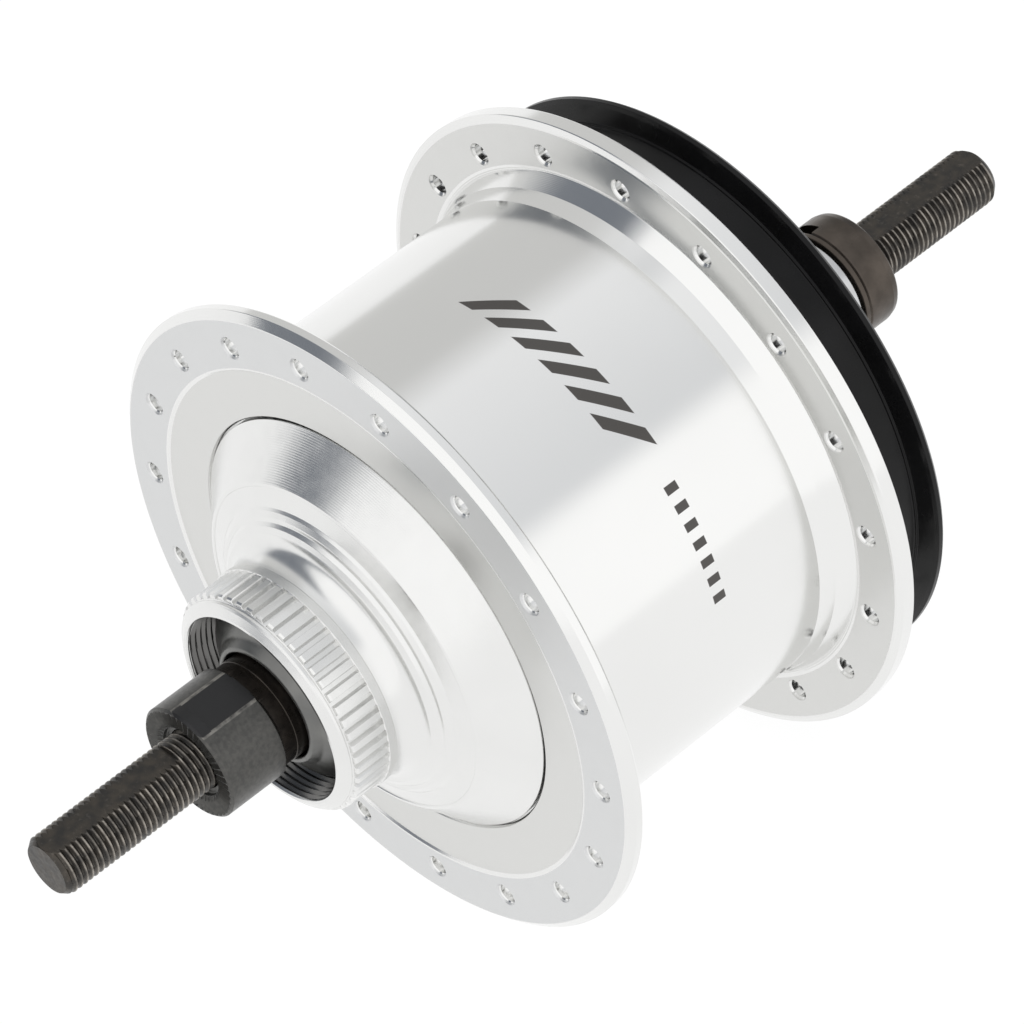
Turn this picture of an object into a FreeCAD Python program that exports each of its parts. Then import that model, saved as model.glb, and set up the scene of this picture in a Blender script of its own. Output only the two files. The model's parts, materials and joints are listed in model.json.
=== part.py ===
"""Eight-speed internal-gear bicycle hub for a disc brake, drawn as a bench assembly.

Row frame: the axle lies along Y with the brake side at +Y and the sprocket side at -Y,
Z is up, and the origin is on the axis, midway between the two lock-nut faces.
Angles about the axle start at +Z and grow towards +X. All sizes are millimetres.

The hub is drawn in second gear: the low sun and the first step-up sun are held by
their pawls, and the other two suns run free.
"""
import FreeCAD, Part
import math
import os
import re

import Sketcher
from FreeCAD import Placement, Rotation, Vector

# Driving dimensions: one spreadsheet cell each, with the name as its alias.
DIMENSIONS = {
    # over all
    "axle_length": 187.0,
    "over_locknuts": 135.0,
    # axle
    "axle_thread_radius": 4.76,
    "axle_flat_half": 4.0,
    "axle_flat_angle": 10.0,
    "axle_left_flat_start": 70.0,
    "axle_end_chamfer": 0.6,
    "axle_journal_radius": 7.95,
    "axle_selector_radius": 6.0,
    "axle_left_radius": 6.5,
    "journal_right": -13.0,
    "journal_left": 22.0,
    "spring_stop_face": -27.0,
    "left_shaft_end": 36.0,
    # hub shell
    "flange_radius": 52.1,
    "flange_chamfer": 1.3,
    "left_flange_face": 32.7,
    "left_flange_back": 30.1,
    "right_flange_face": -21.3,
    "right_flange_back": -24.7,
    "barrel_radius": 41.1,
    "barrel_ring_radius": 41.8,
    "barrel_ring_start": -16.2,
    "barrel_ring_end": -18.7,
    "flange_root_radius": 43.4,
    "left_root_start": 27.4,
    "left_root_radius": 42.9,
    "shell_bore_radius": 36.6,
    "shell_left_bore_radius": 33.0,
    "shell_left_wall": 26.0,
    "cap_seat_radius": 34.5,
    "cap_seat_depth": 30.0,
    # spoke holes
    "spoke_circle_radius": 46.3,
    "spoke_hole_radius": 1.45,
    "spokes_per_flange": 18,
    "left_spoke_phase": 16.25,
    "right_spoke_phase": 6.25,
    # brake-side cap and its splined tube
    "cap_rim_radius": 34.3,
    "cap_rim_face": 32.0,
    "dome_end_face": 37.9,
    "dome_end_radius": 27.6,
    "cap_shoulder_face": 39.0,
    "cap_shoulder_radius": 23.9,
    "cap_bead_face": 40.2,
    "cap_bead_radius": 21.9,
    "cove_foot_face": 40.8,
    "cove_foot_radius": 20.9,
    "cove_neck_radius": 18.0,
    "collar_start": 44.8,
    "collar_radius": 18.45,
    "spline_start": 46.4,
    "spline_end": 52.3,
    "spline_radius": 18.2,
    "spline_root_radius": 17.5,
    "spline_teeth": 52,
    "tube_face": 53.9,
    "tube_rim_radius": 15.9,
    "tube_shoulder_radius": 17.04,
    "tube_bore_radius": 15.25,
    "tube_bore_depth": 44.0,
    "cap_throat_radius": 12.4,
    "cap_inside_radius": 24.0,
    # bearings
    "ball_radius": 2.38,
    "ball_clearance": 0.12,
    "left_ball_plane": 40.0,
    "left_ball_circle": 10.6,
    "left_ball_count": 11,
    "driver_ball_plane": -29.0,
    "driver_ball_circle": 25.0,
    "driver_ball_count": 24,
    "right_ball_plane": -44.5,
    "right_ball_circle": 11.6,
    "right_ball_count": 12,
    "bearing_seat_radius": 14.5,
    "left_cup_throat": 11.3,
    "left_cup_mouth": 13.5,
    "right_cup_throat": 25.6,
    "right_cup_mouth": 27.8,
    "driver_cup_throat": 12.2,
    "driver_cup_mouth": 14.3,
    # brake-side dust cap
    "dust_lip_face": 48.6,
    "dust_lip_radius": 14.6,
    "dust_roll_face": 53.0,
    "dust_roll_radius": 8.95,
    "dust_sheet": 0.8,
    # cones, nuts and caps
    "left_cone_nose": 7.6,
    "left_cone_shoulder": 10.0,
    "right_cone_nose": 8.6,
    "right_cone_shoulder": 10.8,
    "right_cone_neck": 7.2,
    "cone_radius": 8.4,
    "cone_flat_half": 7.5,
    "cone_outer_face": 57.0,
    "cone_flat_start": 54.6,
    "left_nut_radius": 9.1,
    "left_nut_flat_half": 8.5,
    "left_nut_flat_end": 65.5,
    "left_nut_recess": 6.2,
    "right_cone_radius": 9.1,
    "right_cone_face": -59.2,
    "right_ring_face": -59.7,
    "right_nut_back": -60.6,
    "right_ring_radius": 9.3,
    "right_nut_radius": 9.4,
    "nut_edge": 1.6,
    "nut_slot_angle": 36.0,
    "nut_slot_half": 2.1,
    "nut_slot_depth": 1.9,
    "nut_slot_floor": 7.8,
    # driver
    "driver_end": -49.5,
    "sprocket_seat_radius": 17.3,
    "sprocket_seat_start": -38.0,
    "driver_neck_radius": 19.5,
    "driver_hub_radius": 22.2,
    "driver_hub_start": -33.3,
    "driver_flange_back": -25.5,
    "driver_cup_floor": -23.5,
    "driver_bore_radius": 15.2,
    "driver_cup_bore": 31.0,
    "driver_floor_bore": 12.0,
    "driver_race_radius": 24.6,
    "driver_step_face": -40.5,
    "sprocket_ring_depth": 0.8,
    "sprocket_notch_radius": 2.2,
    "sprocket_notches": 3,
    # right closing cup and dust cap
    "right_cup_face": -33.0,
    "dust_cap_neck_radius": 42.0,
    "dust_cap_body_radius": 44.0,
    "dust_cap_body_end": -33.25,
    "dust_cap_rim_radius": 47.4,
    "dust_cap_rim_front": -34.3,
    "dust_cap_back": -35.6,
    "dust_cap_bore": 20.3,
    # gear train
    "gear_module": 0.65,
    "pressure_angle": 25.0,
    "addendum": 0.8,
    "dedendum": 1.05,
    "tooth_thinning": 0.035,
    "pin_circle": 21.45,
    "pin_radius": 2.0,
    "pin_clearance": 0.05,
    "journal_clearance": 0.05,
    "planets_per_stage": 3,
    "low_sun_teeth": 51,
    "low_planet_sun_teeth": 15,
    "low_planet_ring_teeth": 24,
    "low_ring_teeth": 90,
    "high_ring_teeth": 81,
    "low_ring_outer": 33.0,
    "high_ring_outer": 31.0,
    "planet_hub_radius": 4.0,
    # carrier
    "carrier_right_face": -22.0,
    "carrier_right_inner": -20.0,
    "carrier_middle_right": -4.2,
    "carrier_middle_left": -0.8,
    "carrier_left_inner": 18.5,
    "carrier_left_face": 21.0,
    "carrier_radius": 26.5,
    "carrier_right_bore": 9.6,
    "post_circle": 22.0,
    "post_radius": 3.0,
    "carrier_sleeve_radius": 14.0,
    # overrunning clutch and shell ratchet
    "clutch_start": 26.2,
    "clutch_end": 29.8,
    "clutch_race_radius": 24.3,
    "clutch_cam_flat": 21.0,
    "clutch_cam_radius": 23.6,
    "clutch_roller_radius": 1.5,
    "clutch_rollers": 6,
    "ratchet_start": 17.2,
    "ratchet_end": 22.0,
    "ratchet_teeth": 24,
    "ratchet_root": 35.4,
    "ratchet_tip": 34.2,
    "drive_pawls": 3,
    # sun ratchets
    "sun_notches": 6,
    "sun_notch_depth": 1.2,
    "sun_notch_run_out": 28.0,
    "sun_notch_lean": 3.5,
    "pawl_pivot_along": 4.0,
    "pawl_pivot_out": 6.0,
    "pawl_pivot_radius": 0.7,
}

LOW_PLANET_PHASE = 0.0
HIGH_PLANET_PHASE = 60.0
STEP_UP_GEARS = [
    # name, sun teeth, planet teeth, right face, left face
    ("first", 36, 30, 0.0, 5.0),
    ("second", 45, 21, 6.0, 11.0),
    ("third", 51, 15, 12.0, 17.0),
]
LOW_SUN_SPAN = (-12.0, -5.0)
LOW_RING_SPAN = (-19.0, -13.0)
PAWL_RETRACT = 20.0
SUN_PAWLS = [
    # name, angle about the axle, right face, left face, turned down
    ("sun_pawl_low", 0.0, -11.0, -6.0, False),
    ("sun_pawl_first", 60.0, 0.8, 4.2, False),
    ("sun_pawl_second", 120.0, 6.8, 10.2, True),
    ("sun_pawl_third", 240.0, 12.8, 16.2, True),
]
ALONG_AXLE = Rotation(Vector(1, 0, 0), -90)
BALL_REACH = "sqrt(2) * (ball_radius + ball_clearance)"

doc = FreeCAD.newDocument("hub_gear")
sheet = doc.addObject("Spreadsheet::Sheet", "Sheet")
nodes = []


def fill_sheet():
    """Write each driving dimension to its own row and give the cell its alias."""
    for row, (alias, size) in enumerate(DIMENSIONS.items(), start=1):
        sheet.set("A%d" % row, alias)
        sheet.set("B%d" % row, repr(size))
        sheet.setAlias("B%d" % row, alias)
    doc.recompute()


def linked(formula):
    """Turn a formula in plain alias names into one that reads the sheet."""
    def prefix(match):
        word = match.group(0)
        return "Sheet." + word if word in DIMENSIONS else word
    return re.sub(r"[a-z][a-z_]+", prefix, str(formula))


def size(formula):
    """The present value of a formula over the sheet."""
    return float(sheet.evalExpression(linked(formula)))


def finished(piece, name):
    """Give a piece the name of its node and keep it for the final checks."""
    piece.Label = name
    nodes.append(piece)
    return piece


def origin_plane(body, role):
    """One of a body's own base planes."""
    return next(part for part in body.Origin.OriginFeatures if part.Role == role)


def turned(name, outline):
    """A body turned about Y from a closed outline of (axial, radial) formulas."""
    body = doc.addObject("PartDesign::Body", name + "_body")
    sketch = body.newObject("Sketcher::SketchObject", name + "_outline")
    sketch.AttachmentSupport = [(origin_plane(body, "XY_Plane"), "")]
    sketch.MapMode = "FlatFace"
    corners = [Vector(size(radial), size(axial), 0) for axial, radial in outline]
    count = len(corners)
    for index in range(count):
        sketch.addGeometry(Part.LineSegment(corners[index], corners[(index + 1) % count]))
    for index in range(count):
        sketch.addConstraint(Sketcher.Constraint("Coincident", index, 2, (index + 1) % count, 1))
    for index, (axial, radial) in enumerate(outline):
        place_corner(sketch, index, "Y", axial, corners[index].y)
        place_corner(sketch, index, "X", radial, corners[index].x)
    revolution = body.newObject("PartDesign::Revolution", name + "_turning")
    revolution.Profile = sketch
    revolution.ReferenceAxis = (sketch, ["V_Axis"])
    revolution.Angle = 360
    return body


def place_corner(sketch, index, direction, formula, value):
    """Fix one coordinate of an outline's corner, on the sketch's axis where it is zero."""
    if abs(value) < 1e-9:
        axis = -2 if direction == "X" else -1
        sketch.addConstraint(Sketcher.Constraint("PointOnObject", index, 1, axis))
        return
    row = sketch.addConstraint(
        Sketcher.Constraint("Distance" + direction, -1, 1, index, 1, value))
    sketch.setExpression("Constraints[%d]" % row, linked(formula))


def ring(name, start, end, inner, outer):
    """A plain turned ring between two axial faces."""
    return turned(name, [(start, inner), (start, outer), (end, outer), (end, inner)])


def drilling_rod(name, radius, start, end, circle="0", angle=0.0):
    """A round rod along Y, at a radius and an angle about the axle."""
    rod = doc.addObject("Part::Cylinder", name)
    rod.setExpression("Radius", linked(radius))
    rod.setExpression("Height", linked("(%s) - (%s)" % (end, start)))
    rod.Placement = Placement(Vector(0, 0, 0), ALONG_AXLE)
    rod.setExpression("Placement.Base.x", linked("(%s) * sin(%r)" % (circle, angle)))
    rod.setExpression("Placement.Base.y", linked(start))
    rod.setExpression("Placement.Base.z", linked("(%s) * cos(%r)" % (circle, angle)))
    return rod


def block(name, low, high, angle=0.0):
    """A box between two corners given as (tangent, axial, radial), turned about the axle."""
    box = doc.addObject("Part::Box", name)
    for side, index in (("Length", 0), ("Width", 1), ("Height", 2)):
        box.setExpression(side, linked("(%s) - (%s)" % (high[index], low[index])))
    turn = Rotation(Vector(0, 1, 0), angle)
    corner = Vector(size(low[0]), size(low[1]), size(low[2]))
    box.Placement = Placement(turn.multVec(corner), turn)
    return box


def cut(name, base, tools):
    """The base with every tool taken away, and a warning when nothing was removed."""
    tool = tools[0]
    if len(tools) > 1:
        tool = doc.addObject("Part::MultiFuse", name + "_tools")
        tool.Shapes = tools
    result = doc.addObject("Part::Cut", name + "_cut")
    result.Base = base
    result.Tool = tool
    doc.recompute()
    if result.Shape.Volume > base.Shape.Volume - 1e-6:
        print("nothing was cut from", name)
    return result


def joined(name, shapes):
    """Several touching solids as one."""
    result = doc.addObject("Part::MultiFuse", name + "_joined")
    result.Shapes = shapes
    return result


def around(radius, angle, axial=0.0):
    """A point at a radius and an angle in degrees about the axle."""
    turn = math.radians(angle)
    return Vector(radius * math.sin(turn), axial, radius * math.cos(turn))


def closed_wire(points):
    """A polygon through the points."""
    return Part.makePolygon(points + [points[0]])


def extruded(name, face, start, end):
    """A flat face in the XZ plane pushed along Y between two axial formulas."""
    profile = doc.addObject("Part::Feature", name + "_profile")
    profile.Shape = face
    solid = doc.addObject("Part::Extrusion", name + "_solid")
    solid.Base = profile
    solid.DirMode = "Custom"
    solid.Dir = Vector(0, 1, 0)
    solid.Solid = True
    solid.setExpression("LengthFwd", linked("(%s) - (%s)" % (end, start)))
    solid.setExpression("Placement.Base.y", linked(start))
    return solid


def involute(angle):
    """The involute function of a pressure angle in radians."""
    return math.tan(angle) - angle


def toothed_wire(teeth, above, below, widening, phase):
    """A ring of involute teeth with straight facets; one tooth's middle is at the phase."""
    pitch_radius = size("gear_module") * teeth / 2
    pressure = math.radians(size("pressure_angle"))
    base_radius = pitch_radius * math.cos(pressure)
    root = pitch_radius - below * size("gear_module")
    tip = pitch_radius + above * size("gear_module")
    half_at_pitch = math.pi / (2 * teeth) + widening / pitch_radius
    facets = 3
    flank_start = max(root, base_radius)
    flank = []
    for step in range(facets + 1):
        radius = flank_start + (tip - flank_start) * step / facets
        roll = math.acos(min(1.0, base_radius / radius))
        half = half_at_pitch + involute(pressure) - involute(roll)
        flank.append((radius, math.degrees(half)))
    if root < base_radius - 1e-6:
        flank.insert(0, (root, flank[0][1]))
    points = []
    for tooth in range(teeth):
        middle = phase + 360.0 * tooth / teeth
        points += [around(radius, middle - half) for radius, half in flank]
        points += [around(radius, middle + half) for radius, half in reversed(flank)]
    return closed_wire(points)


def external_teeth(teeth, phase):
    """The outline of a gear with its teeth outwards."""
    return toothed_wire(teeth, size("addendum"), size("dedendum"), -size("tooth_thinning"), phase)


def internal_teeth(teeth, phase):
    """The opening of a ring gear; the phase is the middle of a tooth space."""
    return toothed_wire(teeth, size("dedendum"), size("addendum"), size("tooth_thinning"), phase)


def circle_wire(radius):
    """A full circle about the axle."""
    return Part.Wire([Part.makeCircle(radius, Vector(0, 0, 0), Vector(0, 1, 0))])


def notched_wire(radius, depth, count, phase):
    """A bore with saw-tooth notches: a steep face that leans back, then a long run out."""
    run_out = size("sun_notch_run_out")
    lean = size("sun_notch_lean")
    pitch = 360.0 / count
    edges = []
    for notch in range(count):
        start = phase + notch * pitch
        crest = around(radius + depth, start + lean)
        low = around(radius, start)
        back = around(radius, start + run_out)
        following = around(radius, start + pitch)
        middle = around(radius, start + (run_out + pitch) / 2)
        edges.append(Part.makeLine(low, crest))
        edges.append(Part.makeLine(crest, back))
        edges.append(Part.Arc(back, middle, following).toShape())
    return Part.Wire(edges)


def face_between(outer, inner):
    """A flat face inside one wire and outside another."""
    return Part.Face(outer).cut(Part.Face(inner)).Faces[0]


# ---- axle group ---------------------------------------------------------------------------

def sun_pawl_corners(retracted):
    """The corners of a sun pawl's blade as (tangent, radial), raised or turned down."""
    pivot_along = size("pawl_pivot_along")
    pivot_out = size("pawl_pivot_out")
    heel = size("pawl_pivot_radius")
    corners = [(0.7, 8.85), (0.25, 8.0), (0.25, 7.6), (pivot_along, pivot_out - heel),
               (pivot_along, pivot_out + heel), (3.2, 7.2)]
    if not retracted:
        return corners
    turn = math.radians(PAWL_RETRACT)
    turned_down = []
    for along, out in corners:
        side = along - pivot_along
        rise = out - pivot_out
        turned_down.append((pivot_along + side * math.cos(turn) - rise * math.sin(turn),
                            pivot_out + side * math.sin(turn) + rise * math.cos(turn)))
    return turned_down


def make_axle():
    """The stepped axle with its end flats, its pawl slots and a groove for the clip."""
    end = "axle_length / 2"
    shaft = turned("axle", [
        ("-" + end, "0"),
        ("-" + end, "axle_thread_radius - axle_end_chamfer"),
        ("-" + end + " + axle_end_chamfer", "axle_thread_radius"),
        ("spring_stop_face - 1", "axle_thread_radius"),
        ("spring_stop_face - 1", "axle_journal_radius"),
        ("spring_stop_face", "axle_journal_radius"),
        ("spring_stop_face", "axle_selector_radius"),
        ("journal_right", "axle_selector_radius"),
        ("journal_right", "axle_journal_radius"),
        ("journal_left", "axle_journal_radius"),
        ("journal_left", "axle_left_radius"),
        ("left_shaft_end", "axle_left_radius"),
        ("left_shaft_end", "axle_thread_radius"),
        (end + " - axle_end_chamfer", "axle_thread_radius"),
        (end, "axle_thread_radius - axle_end_chamfer"),
        (end, "0"),
    ])
    reach = 6
    tools = []
    for side, low, high in (("right", "-" + end + " - 1", "-over_locknuts / 2 + 1.5"),
                            ("left", "axle_left_flat_start", end + " + 1")):
        tools.append(block("axle_%s_flat_top" % side, (-reach, low, "axle_flat_half"),
                           (reach, high, "axle_flat_half + 3"), size("axle_flat_angle")))
        tools.append(block("axle_%s_flat_under" % side, (-reach, low, "-axle_flat_half - 3"),
                           (reach, high, "-axle_flat_half"), size("axle_flat_angle")))
    side_play = 0.15
    for name, angle, right, left, _ in SUN_PAWLS:
        tools.append(block(name + "_slot", (-1.0, right - side_play, 4.5),
                           (5.2, left + side_play, 10.0), angle))
    finished(cut("axle", shaft, tools), "axle")


def make_sun_pawls():
    """Four pawls with round heels in the axle's slots; two hold their suns, two are held down."""
    pivot_angle = math.degrees(math.atan2(size("pawl_pivot_along"), size("pawl_pivot_out")))
    pivot_circle = "sqrt(pawl_pivot_along ^ 2 + pawl_pivot_out ^ 2)"
    for name, angle, right, left, retracted in SUN_PAWLS:
        corners = [Vector(along, 0, out) for along, out in sun_pawl_corners(retracted)]
        wire = closed_wire(corners)
        wire.rotate(Vector(0, 0, 0), Vector(0, 1, 0), angle)
        blade = extruded(name, Part.Face(wire), right, left)
        heel = drilling_rod(name + "_heel", "pawl_pivot_radius", right, left,
                            pivot_circle, angle + pivot_angle)
        finished(joined(name, [blade, heel]), name)


def make_left_cone():
    """Brake-side cone: a race, then a round neck with two spanner flats at its outer end."""
    race = "left_ball_plane - left_ball_circle + " + BALL_REACH
    body = turned("left_cone", [
        ("left_ball_plane - 3.6", "axle_thread_radius"),
        ("left_ball_plane - 3.6", "left_cone_nose"),
        (race + " + left_cone_nose", "left_cone_nose"),
        (race + " + left_cone_shoulder", "left_cone_shoulder"),
        ("tube_bore_depth", "left_cone_shoulder"),
        ("tube_bore_depth + 0.8", "cone_radius"),
        ("cone_outer_face", "cone_radius"),
        ("cone_outer_face", "axle_thread_radius"),
    ])
    reach = 10
    flats = [
        block("left_cone_flat_top", (-reach, "cone_flat_start", "cone_flat_half"),
              (reach, "cone_outer_face + 1", reach)),
        block("left_cone_flat_under", (-reach, "cone_flat_start", -reach),
              (reach, "cone_outer_face + 1", "-cone_flat_half")),
    ]
    finished(cut("left_cone", body, flats), "left_cone")


def make_left_lock_nut():
    """Brake-side lock nut, with two flats, a recess round the axle and a serrated outer face."""
    face = "over_locknuts / 2"
    body = turned("left_lock_nut", [
        ("cone_outer_face", "axle_thread_radius"),
        ("cone_outer_face", "left_nut_radius - 0.5"),
        ("cone_outer_face + 0.5", "left_nut_radius"),
        (face + " - 0.7", "left_nut_radius"),
        (face, "left_nut_radius - 0.7"),
        (face, "left_nut_recess"),
        (face + " - 1.2", "left_nut_recess - 0.8"),
        (face + " - 1.2", "axle_thread_radius"),
    ])
    reach = 12
    flats = [
        block("left_nut_flat_top", (-reach, "cone_outer_face - 1", "left_nut_flat_half"),
              (reach, "left_nut_flat_end", reach)),
        block("left_nut_flat_under", (-reach, "cone_outer_face - 1", -reach),
              (reach, "left_nut_flat_end", "-left_nut_flat_half")),
    ]
    finished(cut("left_lock_nut", body, flats), "left_lock_nut")


def make_right_cone_and_nut():
    """Sprocket-side cone, spacer ring and rounded lock nut with a key slot in its back."""
    race = "right_ball_plane + right_ball_circle - " + BALL_REACH
    finished(turned("right_cone", [
        ("right_ball_plane + 3.6", "axle_thread_radius"),
        ("right_ball_plane + 3.6", "right_cone_nose"),
        (race + " - right_cone_nose", "right_cone_nose"),
        (race + " - right_cone_shoulder", "right_cone_shoulder"),
        ("right_ball_plane - 4", "right_cone_shoulder"),
        ("right_ball_plane - 4", "right_cone_radius"),
        ("right_cone_face", "right_cone_radius"),
        ("right_cone_face", "right_cone_neck"),
        ("right_ring_face", "right_cone_neck"),
        ("right_ring_face", "axle_thread_radius"),
    ]), "right_cone")
    finished(ring("right_spacer", "right_nut_back", "right_ring_face",
                  "axle_thread_radius", "right_ring_radius"), "right_spacer")
    face = "-over_locknuts / 2"
    nut = turned("right_lock_nut", [
        (face, "axle_thread_radius"),
        (face, "right_nut_radius - nut_edge"),
        (face + " + nut_edge * 0.3", "right_nut_radius - nut_edge * 0.45"),
        (face + " + nut_edge", "right_nut_radius"),
        ("right_nut_back - 0.4", "right_nut_radius"),
        ("right_nut_back", "right_nut_radius - 0.4"),
        ("right_nut_back", "axle_thread_radius"),
    ])
    slot = block("right_nut_key_slot",
                 ("-nut_slot_half", "right_nut_back - nut_slot_depth", "nut_slot_floor"),
                 ("nut_slot_half", "right_nut_back + 1", "right_nut_radius + 1"),
                 size("nut_slot_angle"))
    finished(cut("right_lock_nut", nut, [slot]), "right_lock_nut")


def make_axle_washers():
    """The thrust washer beside the low sun and the clip that ends the gear stack."""
    finished(ring("thrust_washer", "journal_right + 0.1", "journal_right + 0.8",
                  "axle_journal_radius", "12"), "thrust_washer")
    finished(ring("carrier_clip", "journal_left", "journal_left + 1",
                  "axle_left_radius", "8.8"), "carrier_clip")


def make_selector():
    """The selector sleeve with three cam lobes, and its coiled return spring."""
    sleeve_inner = size("axle_selector_radius + journal_clearance")
    lobes = 3
    points = []
    for lobe in range(lobes):
        start = lobe * 360.0 / lobes
        for radius, offset in ((7.4, 0), (7.4, 15), (7.4, 30), (8.6, 38), (8.6, 52), (8.6, 66),
                               (7.4, 74), (7.4, 89), (7.4, 104)):
            points.append(around(radius, start + offset))
    face = face_between(closed_wire(points), circle_wire(sleeve_inner))
    finished(extruded("selector_sleeve", face, "-21.0", "-14.0"), "selector_sleeve")
    helix = Part.makeHelix(1.1, 4.4, 6.9)
    helix.rotate(Vector(0, 0, 0), Vector(1, 0, 0), -90)
    helix.translate(Vector(0, -26.2, 0))
    start = helix.Edges[0].valueAt(helix.Edges[0].FirstParameter)
    along = helix.Edges[0].tangentAt(helix.Edges[0].FirstParameter)
    section = Part.Wire([Part.makeCircle(0.35, start, along)])
    spring = doc.addObject("Part::Feature", "return_spring_coil")
    spring.Shape = Part.Wire(helix.Edges).makePipeShell([section], True, True)
    finished(spring, "return_spring")


# ---- suns, planets and ring gears ---------------------------------------------------------

def make_sun(name, teeth, phase, notch_phase, right, left):
    """A sun gear with saw-tooth notches in its bore for a pawl."""
    bore = size("axle_journal_radius + journal_clearance")
    notches = notched_wire(bore, size("sun_notch_depth"), int(size("sun_notches")), notch_phase)
    face = face_between(external_teeth(teeth, phase), notches)
    finished(extruded(name, face, right, left), name)


def make_suns():
    """The low sun and the three step-up suns."""
    right, left = LOW_SUN_SPAN
    make_sun("sun_low", int(size("low_sun_teeth")), LOW_PLANET_PHASE, 0.0, right, left)
    for name, sun_teeth, _, right, left in STEP_UP_GEARS:
        make_sun("sun_" + name, sun_teeth, HIGH_PLANET_PHASE, 0.0, right, left)


def planet_cluster(name, steps, angle):
    """A planet of several coaxial gears on one hub, at an angle about the axle."""
    start = min(step[1] for step in steps)
    end = max(step[2] for step in steps)
    bore = size("pin_radius + pin_clearance")
    solids = []
    for index, (teeth, right, left, phase) in enumerate(steps):
        face = face_between(external_teeth(teeth, phase), circle_wire(bore))
        solids.append(extruded("%s_step_%d" % (name, index), face, right, left))
    hub = face_between(circle_wire(size("planet_hub_radius")), circle_wire(bore))
    solids.append(extruded(name + "_hub", hub, start, end))
    cluster = joined(name, solids)
    turn = Rotation(Vector(0, 1, 0), angle)
    cluster.Placement = Placement(Vector(0, 0, 0), turn)
    cluster.setExpression("Placement.Base.x", linked("pin_circle * sin(%r)" % angle))
    cluster.setExpression("Placement.Base.z", linked("pin_circle * cos(%r)" % angle))
    finished(cluster, name)


def facing_sun(teeth):
    """The phase that turns a planet's tooth space towards the axle."""
    return 180.0 + 180.0 / teeth


def make_planets():
    """Three two-step planets for the reduction and three three-step ones for the step-up."""
    count = int(size("planets_per_stage"))
    inner_teeth = int(size("low_planet_sun_teeth"))
    outer_teeth = int(size("low_planet_ring_teeth"))
    low_steps = [
        (inner_teeth, LOW_SUN_SPAN[0], LOW_SUN_SPAN[1], facing_sun(inner_teeth)),
        (outer_teeth, LOW_RING_SPAN[0], LOW_RING_SPAN[1], 0.0),
    ]
    high_steps = []
    for _, _, planet_teeth, right, left in STEP_UP_GEARS:
        high_steps.append((planet_teeth, right, left, facing_sun(planet_teeth)))
    for index in range(count):
        turn = 360.0 * index / count
        planet_cluster("planet_low_%d" % (index + 1), low_steps, LOW_PLANET_PHASE + turn)
        planet_cluster("planet_high_%d" % (index + 1), high_steps, HIGH_PLANET_PHASE + turn)


def make_ring_gears():
    """The low ring, held in the driver, and the high ring, which carries the drive pawls."""
    face = face_between(circle_wire(size("low_ring_outer")),
                        internal_teeth(int(size("low_ring_teeth")), LOW_PLANET_PHASE))
    finished(extruded("ring_gear_low", face, LOW_RING_SPAN[0], LOW_RING_SPAN[1]), "ring_gear_low")
    right, left = STEP_UP_GEARS[-1][3:5]
    face = face_between(circle_wire(size("high_ring_outer")),
                        internal_teeth(int(size("high_ring_teeth")), HIGH_PLANET_PHASE))
    toothed = extruded("ring_gear_high_teeth", face, right, left)
    pawl_seat = ring("ring_gear_high_seat", left, "ratchet_end", "27.8", "33.4")
    pockets = []
    count = int(size("drive_pawls"))
    for index in range(count):
        start = 360.0 * index / count
        corners = [around(31.3, start + 15), around(36, start + 15), around(36, start - 2.5),
                   around(33.0, start - 2.5), around(31.3, start + 6)]
        pockets.append(extruded("pawl_pocket_%d" % (index + 1), Part.Face(closed_wire(corners)),
                                float(left) + 0.2, "ratchet_end + 1"))
    seat = cut("ring_gear_high_seat", pawl_seat, pockets)
    finished(joined("ring_gear_high", [toothed, seat]), "ring_gear_high")


# ---- carrier ------------------------------------------------------------------------------

def planet_angles(phase):
    """The angles of one stage's planets about the axle."""
    count = int(size("planets_per_stage"))
    return [phase + 360.0 * index / count for index in range(count)]


def pin_group(name, circle, radius, start, end, angles):
    """Equal pins parallel to the axle, as one group of separate solids."""
    rods = []
    for index, angle in enumerate(angles):
        rods.append(drilling_rod("%s_%d" % (name, index + 1), radius, start, end, circle, angle))
    group = doc.addObject("Part::Compound", name + "_group")
    group.Links = rods
    return finished(group, name)


def carrier_posts(name, foot, head, angles):
    """The round posts that stand on one plate of the carrier."""
    return [drilling_rod("%s_post_%d" % (name, index + 1), "post_radius", foot, head,
                         "post_circle", angle)
            for index, angle in enumerate(angles)]


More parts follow.
